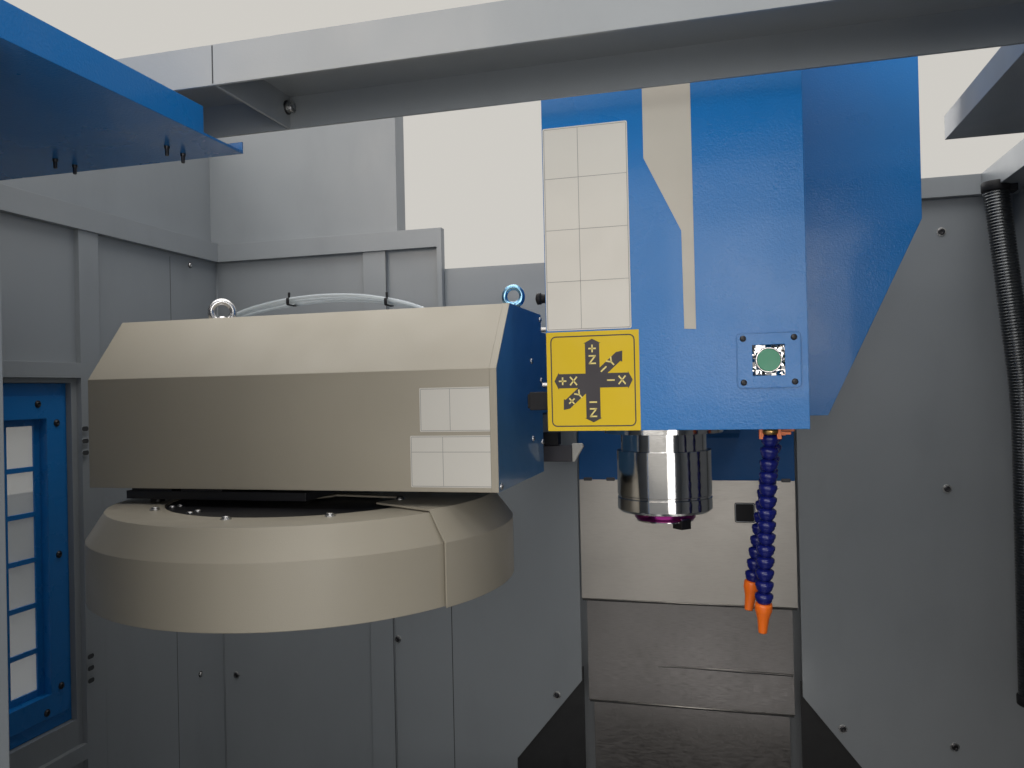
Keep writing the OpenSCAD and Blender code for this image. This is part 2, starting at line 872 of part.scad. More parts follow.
// Ground cartridge with a groove, a collar and the bolted flange
module spindle_cartridge() {
    r = spindle_d / 2;
    color(steel)
        difference() {
            rotate_extrude($fn = 96)
                polygon([
                    [journal_r + fit_gap, cartridge_z], [r - 4, cartridge_z], [r, cartridge_z + 4],
                    [r, cartridge_z + 22], [r - 1.5, cartridge_z + 23], [r - 1.5, cartridge_z + 26],
                    [r, cartridge_z + 27], [r, cartridge_z + cartridge_h], [r - 7, cartridge_z + cartridge_h],
                    [r - 7, head_z - flange_h], [flange_r, head_z - flange_h], [flange_r, head_z],
                    [r - 5, head_z], [r - 5, head_z + carrier_h - 20], [journal_r + fit_gap, head_z + carrier_h - 20]]);
            for (a = [0 : 45 : 315])
                rotate(a + 22.5)
                    bar_up(flange_r - 9, 0, [head_z - flange_h - 1, head_z - flange_h + 7], 5);
        }
}

// Turning spindle with the tool taper and two drive keys
module spindle() {
    taper_l = 65;
    top = head_z + carrier_h - 4;
    color(steel)
        difference() {
            union() {
                translate([0, 0, nose_z])
                    cylinder(h = 5, r1 = nose_d / 2 - 5, r2 = nose_d / 2);
                bar_up(0, 0, [nose_z + 5, cartridge_z - run_gap], nose_d / 2);
                bar_up(0, 0, [nose_z, top], journal_r);
                for (a = [135, -45])
                    rotate(a)
                        span([29, 49], [-9, 9], [nose_z - 9, nose_z + 7]);
            }
            translate([0, 0, nose_z - 0.01])
                cylinder(h = taper_l, r1 = taper_d / 2, r2 = taper_d / 2 - taper_l * 7 / 48);
            bar_up(0, 0, [nose_z, top + 1], 9);
        }
}

module spindle_motor() {
    color(black)
        translate([0, 0, head_z + carrier_h + adapter_h])
            difference() {
                union() {
                    span([-100, 100], [-100, 100], [0, 18]);
                    bar_up(0, 0, [18, 290], 92);
                    bar_up(0, 0, [290, 340], 84);
                }
                for (a = [0 : 30 : 330])
                    rotate(a)
                        span([88, 96], [-5, 5], [40, 270]);
            }
}

// Folded cover of the head, open behind, with a floor sheet round the spindle
button_x = 156;
button_z = nose_z + 247;
module head_cover() {
    top = head_cover_z + head_cover_h;
    back = 300;
    color(blue)
        difference() {
            span([-head_left, head_right], [-head_front, back], [head_cover_z, top]);
            span([-head_left + sheet, head_right - sheet], [-head_front + sheet, back + 1], [head_z, top - sheet]);
            span([-carrier_half - 1, carrier_half + 1], [carrier_half, back + 1], [head_cover_z - 1, head_z + 1]);
            bar_up(0, 0, [head_cover_z - 1, head_z + 1], flange_r + run_gap);
            across_y(-head_front - 1, sheet + 2)
                translate([button_x - 23, button_z - 23])
                    square(46);
            for (i = [0 : 7])
                across_x(-head_left - 1, head_left + head_right + 2)
                    translate([60, top - 200 + 18 * i])
                        square([160, 8]);
        }
}

// Splash plate beside the head with flanges turned back along its edges
module head_side_guard() {
    y = 90;
    low = head_z + 6;
    top = head_cover_z + head_cover_h;
    x0 = head_right;
    x1 = head_right + side_guard_w;
    color(blue) {
        across_y(y, sheet)
            polygon([[x0, low], [x0 + 53, low], [x1, low + 312], [x1, top], [x0, top]]);
        span([x0, x0 + sheet], [y + sheet, y + 40], [low, top]);
        span([x1 - sheet, x1], [y + sheet, y + 40], [low + 312, top]);
        span([x0 + sheet, x1 - sheet], [y + sheet, y + 40], [top - sheet, top]);
    }
}

// Ball-jointed hose from one point towards another, in links of one pitch
link_pitch = 17.9;
link_r = 11;
module hose(p, q, n) {
    d = q - p;
    l = norm(d);
    translate(p)
        rotate([0, acos(d[2] / l), atan2(d[1], d[0])])
            rotate_extrude($fn = 24)
                polygon(concat(
                    [[0, 0]],
                    [for (i = [0 : n - 1]) each [[6, i * link_pitch], [link_r - 1, i * link_pitch + 3],
                        [link_r, i * link_pitch + 8], [link_r - 1, i * link_pitch + 12], [6, i * link_pitch + 15]]],
                    [[6, n * link_pitch], [0, n * link_pitch]]));
}

hose_a = [158, -120, head_cover_z - 10];
hose_a_end = [145, -92, nose_z - 105];
hose_b = [169, -40, head_cover_z - 10];
hose_b_end = [131, -40, nose_z - 90];
hose_links = 14;
module coolant_hoses() {
    color([0.05, 0.10, 0.45]) {
        hose(hose_a, hose_a_end, hose_links);
        hose(hose_b, hose_b_end, hose_links - 1);
        for (p = [hose_a, hose_b])
            bar_up(p[0], p[1], [p[2] - 4, head_cover_z], 13);
    }
}

// Orange nozzles on the hose ends
module nozzle(p, q, n) {
    d = q - p;
    l = norm(d);
    translate(p)
        rotate([0, acos(d[2] / l), atan2(d[1], d[0])])
            translate([0, 0, n * link_pitch])
                rotate_extrude($fn = 24)
                    polygon([[3, 0], [12, 0], [12, 10], [8, 22], [6, 42], [3, 42]]);
}

module hose_nozzles() {
    color([0.95, 0.42, 0.10]) {
        nozzle(hose_a, hose_a_end, hose_links);
        nozzle(hose_b, hose_b_end, hose_links - 1);
    }
}

// Plate and bracket that hold the push button
bezel_t = 2;
module button_bezel() {
    color(blue)
        across_y(-head_front - bezel_t, bezel_t)
            difference() {
                round_rect([button_x - 42, button_x + 42], [button_z - 38, button_z + 38], 6);
                translate([button_x - 23, button_z - 23])
                    square(46);
                for (sx = [-1, 1], sz = [-1, 1])
                    translate([button_x + sx * 33, button_z + sz * 30])
                        circle(3);
            }
    color(steel)
        difference() {
            span([button_x - 23, button_x + 23], [-head_front - bezel_t, -head_front + 20],
                [button_z - 23, button_z + 23]);
            span([button_x - 21, button_x + 21], [-head_front - 5, -head_front + 16], [button_z - 21, button_z + 21]);
            bar_along_y(button_x, [-head_front, -head_front + 21], button_z, 11 + fit_gap);
        }
}

// Green button with its stem
module push_button() {
    face = -head_front - bezel_t - 3;
    color([0.05, 0.55, 0.35]) {
        bar_along_y(button_x, [face, -head_front + 16 - button_travel - run_gap], button_z, 15);
        bar_along_y(button_x, [face + 1, -head_front + 30], button_z, 11);
    }
}

// Saddle between base and table, with its bearing blocks, nut and screw supports
module saddle() {
    end = saddle_half_x - 8;
    groove_z = saddle_top - 45;
    color(grey)
        difference() {
            union() {
                span([-saddle_half_x, saddle_half_x], [-saddle_half_y, saddle_half_y], [saddle_z, saddle_top]);
                for (sx = [-1, 1], sy = [-1, 1])
                    translate([sx * y_rail_x, sy * (saddle_half_y - 50), pad_top])
                        rail_block(saddle_z - pad_top);
                span([-45, 45], [-50, 50], [y_screw_z - 32, saddle_z]);
                for (s = [0, 1])
                    mirror([s, 0, 0])
                        span([end, end + 30], [-44, 44], [groove_z - 30, x_screw_z + 40]);
            }
            span([-end, end], [-46, 46], [groove_z, saddle_top + 1]);
            bar_along_y(0, [-51, 51], y_screw_z, screw_r + run_gap);
            bar_x([-end - 31, end + 31], 0, x_screw_z, screw_r + fit_gap);
            for (s = [-1, 1], x = [-saddle_half_x + 40 : 150 : saddle_half_x - 140])
                translate([0, s < 0 ? -saddle_half_y - 1 : saddle_half_y - 20, 0])
                    across_y(0, 21)
                        round_rect([x, x + 110], [saddle_z + 18, saddle_top - 18], 16);
        }
}

// Plates that the saddle carries over the fixed covers
module saddle_covers() {
    z = saddle_top - 60;
    half = saddle_cover_half + run_gap;
    color(steel)
        for (y = [[-saddle_half_y - 210, -saddle_half_y], [saddle_half_y, throat - y_half_travel - 9]])
            difference() {
                span([-half - sheet, half + sheet], y, [z - 40, z + 10]);
                span([-half, half], [y[0] - 1, y[1] + 1], [z - 41, z + 10 - sheet]);
            }
}

// Table with T-slots along X, bearing blocks and nut below
module table() {
    pitch = table_w / (slot_n + 1);
    under = table_z - table_t;
    color(steel)
        difference() {
            union() {
                span([-table_l / 2, table_l / 2], [-table_w / 2, table_w / 2], [under, table_z]);
                for (sx = [-1, 1], sy = [-1, 1])
                    translate([sx * (rail_reach - block_l / 2), sy * x_rail_y, saddle_top])
                        rotate([0, 0, 90])
                            rail_block(under - saddle_top);
                span([-28, 28], [-40, 40], [x_screw_z - 32, under]);
            }
            bar_x([-46, 46], 0, x_screw_z, screw_r + run_gap);
            for (i = [1 : slot_n])
                translate([0, -table_w / 2 + i * pitch, table_z])
                    across_x(-table_l / 2 - 1, table_l + 2)
                        polygon([
                            [-slot_w / 2, 1], [-slot_w / 2, -18], [-slot_w * 0.85, -18], [-slot_w * 0.85, -30],
                            [slot_w * 0.85, -30], [slot_w * 0.85, -18], [slot_w / 2, -18], [slot_w / 2, 1]]);
            for (s = [-1, 1])
                span([-table_l / 2 - 1, table_l / 2 + 1], [s * (table_w / 2 - 12) - 5, s * (table_w / 2 - 12) + 5],
                    [table_z - 6, table_z + 1]);
        }
}

// Sliding carriage of the magazine with its bearings, boss and cylinder rod
module carriage() {
    back = carriage_end;
    front = -disc_x + 64;
    top = carriage_z + carriage_t;
    color(steel)
        difference() {
            union() {
                span([back, front], [box_front + 5, cyl_y + 20], [carriage_z, top]);
                for (s = [-1, 1], x = [back + 10, back + 110])
                    span([x, x + 80], [s * bar_y - 28, s * bar_y + 28], [top, bar_z + 28]);
                bar_up(-disc_x, 0, [carriage_z - 10, carriage_z], boss_r);
                for (s = [-1, 1])
                    bar_up(back + 36, s * 90, [hat_top, carriage_z], 12);
                span([rod_x, rod_x + 12], [cyl_y - 16, cyl_y + 16], [top, cyl_z + 16]);
                bar_x([box_left + 30, rod_x + 1], cyl_y, cyl_z, 8);
            }
            for (s = [-1, 1])
                bar_x([back, back + 200], s * bar_y, bar_z, bar_r + fit_gap);
            bar_up(-disc_x, 0, [carriage_z - 11, top + 1], 25 + fit_gap);
        }
}

// Round cover over the disc, cut open towards the spindle
module hat_cover() {
    t = sheet + 1;
    color(beige)
        translate([-disc_x, 0, 0])
            rotate(door_half)
                rotate_extrude(angle = 360 - 2 * door_half, $fn = 144)
                    polygon([
                        [hat_r - t, hat_z], [hat_r, hat_z], [hat_r, hat_shoulder], [hat_top_r, hat_top],
                        [hub_r + 2, hat_top], [hub_r + 2, hat_top - t], [hat_top_r - 1, hat_top - t],
                        [hat_r - t, hat_shoulder - 1.5]]);
}

module disc_motor() {
    z = carriage_z + carriage_t;
    color(black)
        translate([-disc_x, 0, 0])
            difference() {
                union() {
                    bar_up(0, 0, [z, z + 150], motor_r);
                    bar_up(0, 0, [z + 150, z + 190], motor_r - 8);
                }
                bar_up(0, 0, [z - 1, z + 30], 27);
            }
}

// One jaw of a tool gripper, bevelled at its mouth
module gripper_jaw(z, h) {
    jaw_in = 28;
    jaw_out = 42;
    tip = pocket_pitch_r + 22;
    translate([0, 0, z])
        linear_extrude(h)
            polygon([
                [pocket_pitch_r - 60, jaw_in], [tip - 10, jaw_in], [tip, jaw_in + 6], [tip, jaw_out],
                [pocket_pitch_r - 60, jaw_out]]);
}

// Turning disc: hub plate, drum, shaft, and a ring with a pair of gripper jaws for each tool
module tool_disc() {
    grip_z = hat_z + 78;
    grip_t = 12;
    ring_z = grip_z + grip_t;
    drum_r = 140;
    color(black)
        translate([-disc_x, 0, 0]) {
            bar_up(0, 0, [hub_top - 8, hub_top], hub_r);
            bar_up(0, 0, [grip_z, hub_top - 8], drum_r);
            bar_up(0, 0, [hub_top + run_gap, carriage_z + carriage_t + 20], 25);
            difference() {
                bar_up(0, 0, [ring_z, ring_z + 8], pocket_pitch_r - 28);
                bar_up(0, 0, [ring_z - 1, ring_z + 9], drum_r + run_gap);
            }
            for (i = [0 : pocket_n - 1], s = [0, 1])
                rotate(360 * i / pocket_n)
                    mirror([0, s, 0])
                        gripper_jaw(grip_z, grip_t - run_gap);
        }
}

// Curved door that closes the round cover towards the spindle, on an arm round the boss
module magazine_door() {
    t = 3;
    z0 = hat_top + 2;
    inner_r = hat_r + door_gap;
    arm_half = 8;
    color(beige)
        translate([-disc_x, 0, 0]) {
            rotate(-door_half - door_lap)
                rotate_extrude(angle = 2 * (door_half + door_lap), $fn = 144)
                    polygon([
                        [inner_r, hat_z], [inner_r + t, hat_z], [inner_r + t, hat_shoulder + 2],
                        [hat_top_r + 2, z0 + t], [200, z0 + t], [200, z0], [hat_top_r + 1, z0],
                        [inner_r, hat_shoulder + 1]]);
            rotate(-arm_half)
                rotate_extrude(angle = 2 * arm_half, $fn = 144)
                    translate([boss_r + 15, z0])
                        square([203 - boss_r - 15, t]);
            difference() {
                bar_up(0, 0, [z0, z0 + t], boss_r + 20);
                bar_up(0, 0, [z0 - 1, z0 + t + 1], boss_r + run_gap);
            }
        }
}

// A sliding door: upright panel with a window, roof part and rear strip, from x0 to x1
module door_shell(x0, x1, margin) {
    slot = 3 + run_gap;
    difference() {
        union() {
            span([x0, x1], [door_y, door_y + door_t], [door_bottom, door_top]);
            span([x0, x1], [door_y + door_t, roof_back], [roof_z, door_top]);
            span([x0, x1], [roof_back, roof_back + 83], [roof_z, roof_z + 3]);
            span([x0, x1], [roof_back + 81, roof_back + 83], [roof_z + 3, roof_z + 15]);
        }
        if (margin > 0)
            span([x0 + margin, x1 - margin], [door_y - 1, door_y + door_t + 1], [glass_low, glass_high]);
        span([x0 - 1, x1 + 1], [door_y + door_t / 2 - slot, door_y + door_t / 2 + slot],
            [door_bottom - 1, door_bottom + 14]);
    }
}

// Bow handle on the front of a door
module door_handle(x) {
    for (z = [1010, 1290])
        bar_along_y(x, [door_y - 50, door_y], z, 9);
    bar_up(x, door_y - 50, [1000, 1300], 12);
}

module left_door() {
    color(blue) {
        door_shell(-left_door_x - left_door_w, -left_door_x, glass_margin);
        door_handle(-left_door_x - 50);
    }
}

module right_door() {
    color(blue) {
        door_shell(opening_right, right_x, 0);
        door_handle(opening_right + 30);
    }
}

module door_pane() {
    color([0.75, 0.82, 0.85, 0.5])
        span([-left_door_x - left_door_w + glass_margin, -left_door_x - glass_margin],
            [door_y + door_t / 2 - 3, door_y + door_t / 2 + 3], [glass_low, glass_high]);
}

// Cabinet for the drives on the back of the column
cabinet_half = 440;
cabinet_y = column_y + column_d + 40;
cabinet_d = 340;
cabinet_low = 660;
cabinet_high = 1960;
module electrical_cabinet() {
    wall = 20;
    color(grey) {
        difference() {
            span([-cabinet_half, cabinet_half], [cabinet_y, cabinet_y + cabinet_d], [cabinet_low, cabinet_high]);
            span([-cabinet_half + wall, cabinet_half - wall], [cabinet_y + wall, cabinet_y + cabinet_d + 1],
                [cabinet_low + wall, cabinet_high - wall]);
        }
        for (s = [-1, 1])
            span([s * 240 - 30, s * 240 + 30], [column_y + column_d, cabinet_y], [cabinet_low + 20, cabinet_low + 400]);
    }
}

module cabinet_door() {
    y = cabinet_y + cabinet_d + run_gap;
    color(grey) {
        span([-cabinet_half, cabinet_half], [y, y + 22], [cabinet_low, cabinet_high]);
        for (z = [cabinet_low + 100, cabinet_high - 200])
            bar_up(-cabinet_half - 9, y + 11, [z, z + 100], 9);
    }
    color(black)
        span([cabinet_half - 60, cabinet_half - 40], [y + 22, y + 40], [cabinet_low + 590, cabinet_low + 710]);
}

// Operator console: hinge tube, housing, screen bezel, key field and a shelf
module console() {
    x0 = console_x + 32;
    x1 = x0 + console_w;
    back = console_face + console_d;
    wall = 3;
    color(grey)
        difference() {
            union() {
                bar_up(console_x, console_y, [console_ears[0] + ear_t + run_gap, console_ears[1] - run_gap], 22);
                span([console_x, x0 + 1], [console_y - 12, console_y + 12],
                    [console_ears[0] + ear_t + 30, console_ears[1] - 30]);
                difference() {
                    across_x(x0, console_w)
                        polygon([
                            [console_face, console_low + 250], [console_face - 40, console_low + 200],
                            [console_face - 40, console_low + 20], [console_face - 20, console_low],
                            [back, console_low], [back, console_low + console_h - 20],
                            [back - 20, console_low + console_h], [console_face, console_low + console_h]]);
                    span([x0 + wall, x1 - wall], [console_face + 12, back - wall],
                        [console_low + wall, console_low + console_h - 24]);
                    span([x0 + wall, x1 - wall], [console_face - 40 + wall, console_face + 13],
                        [console_low + 24, console_low + 200]);
                    bar_up(x0 + console_w / 2, back - 40, [console_low - 1, console_low + wall + 1], 16);
                }
            }
            bar_up(console_x, console_y, [console_ears[0], console_ears[1] + ear_t], console_pin_r + fit_gap);
            across_y(console_face - 1, 9)
                round_rect([x0 + 30, x1 - 30], [console_low + 330, console_low + console_h - 40], 10);
            bar_along_y(stop_x, [console_face - 41, console_face + 31], stop_z, 11 + fit_gap);
            bar_along_y(knob_x, [console_face - 41, console_face + 31], stop_z, 6 + fit_gap);
        }
    color(black)
        for (i = [0 : 5], j = [0 : 2])
            span([x0 + 36 + 42 * i, x0 + 68 + 42 * i], [console_face - 43, console_face - 40],
                [console_low + 40 + 36 * j, console_low + 66 + 36 * j]);
}

stop_x = console_x + 32 + console_w - 60;
stop_z = console_low + 172;
knob_x = console_x + 32 + 70;

// Red stop button with its stem
module stop_button() {
    color([0.75, 0.05, 0.05])
        translate([stop_x, console_face - 40, stop_z])
            rotate([90, 0, 0])
                rotate_extrude()
                    polygon([[0, -30], [11, -30], [11, 8], [20, 8], [20, 16], [17, 22], [10, 25], [0, 26]]);
}

// Feed override knob with a pointer rib
module feed_knob() {
    color(black)
        translate([knob_x, console_face - 40 - run_gap, stop_z])
            rotate([90, 0, 0]) {
                cylinder(h = 18, r = 17);
                translate([0, 0, -30])
                    cylinder(h = 31, r = 6);
                span([-2, 2], [0, 19], [0, 21]);
            }
}

base_casting();
leveling_feet();
column_casting();
guide_rails();
y_ball_screw();
z_ball_screw();
axis_motors();
guard_outriggers();
chip_pan();
left_wall();
right_wall();
back_wall();
rear_skirts();
front_frame();
door_tracks();
window_frame();
window_pane();
header_beam();
beam_extension();
right_roof_panel();
coolant_conduit();
magazine_bracket();
magazine_box();
carriage_bars();
air_cylinder();
eye_bolts();
air_tubes();
fixed_way_cover();
head_casting();
spindle_cartridge();
spindle_motor();
head_cover();
head_side_guard();
way_cover_1();
way_cover_2();
way_cover_3();
coolant_hoses();
hose_nozzles();
button_bezel();
push_button();
spindle();
saddle();
x_guide_rails();
x_ball_screw();
x_motor();
saddle_covers();
table();
carriage();
hat_cover();
disc_motor();
tool_disc();
magazine_door();
left_door();
right_door();
door_pane();
electrical_cabinet();
cabinet_door();
console();
stop_button();
feed_knob();
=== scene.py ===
"""Looks of the vertical machining centre: paint, labels, screws, hoses, tubes, seams and the studio.

Sizes are millimetres in the model's own frame; Part turns them into metres.
"""
import json
import math
import random

import bpy
import bmesh
from mathutils import Matrix, Vector


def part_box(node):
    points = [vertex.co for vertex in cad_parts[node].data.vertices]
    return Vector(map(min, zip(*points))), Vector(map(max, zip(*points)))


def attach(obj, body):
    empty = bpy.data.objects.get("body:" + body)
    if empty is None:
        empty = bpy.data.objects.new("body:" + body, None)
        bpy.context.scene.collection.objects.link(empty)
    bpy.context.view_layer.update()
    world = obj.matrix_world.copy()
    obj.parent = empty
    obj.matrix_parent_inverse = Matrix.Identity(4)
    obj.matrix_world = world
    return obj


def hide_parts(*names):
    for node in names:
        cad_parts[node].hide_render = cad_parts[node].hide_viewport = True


MM = 0.001
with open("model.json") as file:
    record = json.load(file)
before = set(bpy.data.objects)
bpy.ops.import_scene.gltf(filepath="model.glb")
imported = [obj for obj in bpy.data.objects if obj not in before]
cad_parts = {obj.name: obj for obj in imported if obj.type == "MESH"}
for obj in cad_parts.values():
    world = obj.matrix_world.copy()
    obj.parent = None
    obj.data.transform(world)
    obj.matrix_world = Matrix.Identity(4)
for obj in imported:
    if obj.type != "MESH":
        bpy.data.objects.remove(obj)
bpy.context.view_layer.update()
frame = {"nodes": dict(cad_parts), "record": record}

# The camera's place in millimetres, its turns and its focal length, in a picture of PHOTO_WIDTH pixels
CAMERA_AT = (98.6, -1309.0, 1650.0)
YAW, PITCH, ROLL = math.radians(14.930), math.radians(0.377), math.radians(-1.256)
FOCAL_PIXELS = 800.2
PHOTO_WIDTH = 1024
SENSOR_MM = 36.0

# Faces of the solids that details sit on
HUB_TOP = 1461
BACK, BACK_OUTSIDE = 590, 594
LEFT = -1234
POST = LEFT + 18
BOX_BACK = 184
CABINET_DOOR = 1512
CONSOLE_UPPER, CONSOLE_RECESS, CONSOLE_LOWER = -760, -752.2, -800

# Centre of the push button, ends of the air tubes and heights of a label's film, its print and a seam
BUTTON = (156, 1682)
TUBE_ENDS = (-930, -470)
FILM, PRINT, SEAM_HIGH = 0.4, 0.5, 0.3


def make_camera():
    """A camera where the photograph's own was."""
    forward = Vector((-math.sin(YAW) * math.cos(PITCH), math.cos(YAW) * math.cos(PITCH), math.sin(PITCH)))
    side = Vector((math.cos(YAW), math.sin(YAW), 0))
    up = side.cross(forward)
    right = math.cos(ROLL) * side + math.sin(ROLL) * up
    up = -math.sin(ROLL) * side + math.cos(ROLL) * up
    data = bpy.data.cameras.new("camera")
    data.sensor_width = SENSOR_MM
    data.lens = FOCAL_PIXELS * SENSOR_MM / PHOTO_WIDTH
    data.clip_start = 0.02
    camera = bpy.data.objects.new("camera", data)
    turn = Matrix((right, up, -forward)).transposed().to_4x4()
    camera.matrix_world = Matrix.Translation(Vector(CAMERA_AT) * MM) @ turn
    bpy.context.collection.objects.link(camera)
    bpy.context.scene.camera = camera


class Shader:
    """A material's node tree, in object coordinates in metres."""

    def __init__(self, name):
        self.mat = bpy.data.materials.new(name)
        self.mat.use_nodes = True
        self.tree = self.mat.node_tree
        self.bsdf = self.tree.nodes["Principled BSDF"]
        self.coord = self.node("ShaderNodeTexCoord").outputs["Object"]

    def node(self, kind, **settings):
        made = self.tree.nodes.new(kind)
        for key, value in settings.items():
            setattr(made, key, value)
        return made

    def link(self, out, socket):
        self.tree.links.new(out, socket)

    def noise(self, scale, detail=3.0, stretch=(1, 1, 1), rough=0.5):
        """A noise with a scale per metre, longer where stretch is smaller."""
        mapping = self.node("ShaderNodeMapping")
        mapping.inputs["Scale"].default_value = stretch
        self.link(self.coord, mapping.inputs["Vector"])
        noise = self.node("ShaderNodeTexNoise")
        noise.inputs["Scale"].default_value = scale
        noise.inputs["Detail"].default_value = detail
        noise.inputs["Roughness"].default_value = rough
        self.link(mapping.outputs["Vector"], noise.inputs["Vector"])
        return noise.outputs["Fac"]

    def spread(self, value, low, high, start=0.35, end=0.65):
        """Maps the part of a value from start to end onto low to high."""
        node = self.node("ShaderNodeMapRange")
        for key, number in (("From Min", start), ("From Max", end), ("To Min", low), ("To Max", high)):
            node.inputs[key].default_value = number
        self.link(value, node.inputs["Value"])
        return node.outputs["Result"]

    def mix(self, factor, first, second):
        """Blends two colours or sockets."""
        node = self.node("ShaderNodeMix", data_type="RGBA")
        self.link(factor, node.inputs["Factor"])
        for key, colour in (("A", first), ("B", second)):
            socket = [s for s in node.inputs if s.name == key and s.type == "RGBA"][0]
            if isinstance(colour, bpy.types.NodeSocket):
                self.link(colour, socket)
            else:
                socket.default_value = (*colour[:3], 1)
        return [s for s in node.outputs if s.type == "RGBA"][0]

    def bump(self, height, strength, distance, normal=None):
        """A relief of a depth in metres, on top of another normal."""
        node = self.node("ShaderNodeBump")
        node.inputs["Strength"].default_value = strength
        node.inputs["Distance"].default_value = distance
        self.link(height, node.inputs["Height"])
        if normal is not None:
            self.link(normal, node.inputs["Normal"])
        return node.outputs["Normal"]

    def soft_edges(self, radius):
        """Edges that catch the light, with a radius in metres."""
        node = self.node("ShaderNodeBevel", samples=4)
        node.inputs["Radius"].default_value = radius
        return node.outputs["Normal"]

    def set(self, **values):
        """Sets plain values on the main shader's sockets."""
        for key, value in values.items():
            self.bsdf.inputs[key.replace("_", " ")].default_value = value


def shade(colour, factor):
    """A darker or lighter shade of a colour."""
    return tuple(min(1.0, c * factor) for c in colour[:3])


def paint(name, colour, rough=0.35, peel=260, depth=0.25, mottle=0.06, dirt=0.0, coat=0.0, edge=0.0015,
          dent=0.1, shine=0.5):
    """Sprayed enamel: fine peel in the gloss, shallow dents, slow colour drift, and dust where dirt is above 0."""
    drift, clouds, gloss, dents = 2.3, 7.0, 11.0, 9.0  # noise scales
    s = Shader(name)
    base = s.mix(s.noise(drift, 4), shade(colour, 1 - mottle), shade(colour, 1 + mottle))
    if dirt:
        dust = s.spread(s.noise(clouds, 6, (1, 1, 0.35), 0.62), 0.0, dirt, 0.5, 0.75)
        base = s.mix(dust, base, shade(colour, 0.55))
    s.link(base, s.bsdf.inputs["Base Color"])
    s.link(s.spread(s.noise(gloss, 5), rough * 0.85, rough * 1.2), s.bsdf.inputs["Roughness"])
    normal = s.bump(s.noise(dents, 2), dent, 0.008, s.soft_edges(edge))
    normal = s.bump(s.noise(peel, 2), depth, 0.0006, normal)
    s.link(normal, s.bsdf.inputs["Normal"])
    s.set(Coat_Weight=coat, Coat_Roughness=0.08, Specular_IOR_Level=shine)
    return s.mat


def metal(name, colour, rough=0.3, brush=(1, 1, 1), scratch=0.12, cloud=0.1, scale=160):
    """Bare metal with clouds and with brush marks that run along the axes where brush is small."""
    s = Shader(name)
    tone = s.mix(s.noise(5.0, 5), shade(colour, 1 - cloud), shade(colour, 1 + cloud))
    s.link(tone, s.bsdf.inputs["Base Color"])
    lines = s.noise(scale, 3, brush, 0.6)
    s.link(s.spread(lines, rough * 0.75, rough * 1.3), s.bsdf.inputs["Roughness"])
    s.link(s.bump(lines, scratch, 0.0003, s.soft_edges(0.0008)), s.bsdf.inputs["Normal"])
    s.set(Metallic=1.0)
    return s.mat


def plastic(name, colour, rough=0.4, grain=900, depth=0.15, mottle=0.05, shine=0.5):
    """Moulded plastic or rubber, a printed film, or ink, with a fine grain."""
    s = Shader(name)
    tone = s.mix(s.noise(9.0, 3), shade(colour, 1 - mottle), shade(colour, 1 + mottle))
    s.link(tone, s.bsdf.inputs["Base Color"])
    s.link(s.spread(s.noise(25.0, 3), rough * 0.85, rough * 1.15), s.bsdf.inputs["Roughness"])
    s.link(s.bump(s.noise(grain, 2), depth, 0.0002, s.soft_edges(0.0006)), s.bsdf.inputs["Normal"])
    s.set(Specular_IOR_Level=shine)
    return s.mat


def clear(name, colour, alpha, rough):
    """A clear or frosted sheet that lets part of the light through."""
    s = Shader(name)
    s.link(s.mix(s.noise(14.0, 4), shade(colour, 0.94), shade(colour, 1.04)), s.bsdf.inputs["Base Color"])
    s.link(s.spread(s.noise(30.0, 3), rough * 0.7, rough * 1.3), s.bsdf.inputs["Roughness"])
    s.set(Alpha=alpha)
    return s.mat


# Linear colours, and the stretch of two kinds of brush marks
BLUE = (0.007, 0.148, 0.430)
DARK_BLUE = (0.006, 0.085, 0.260)
GREY = (0.250, 0.268, 0.282)
BEIGE = (0.350, 0.315, 0.250)
GROUND, DRAWN = (1, 1, 9), (1, 1, 14)

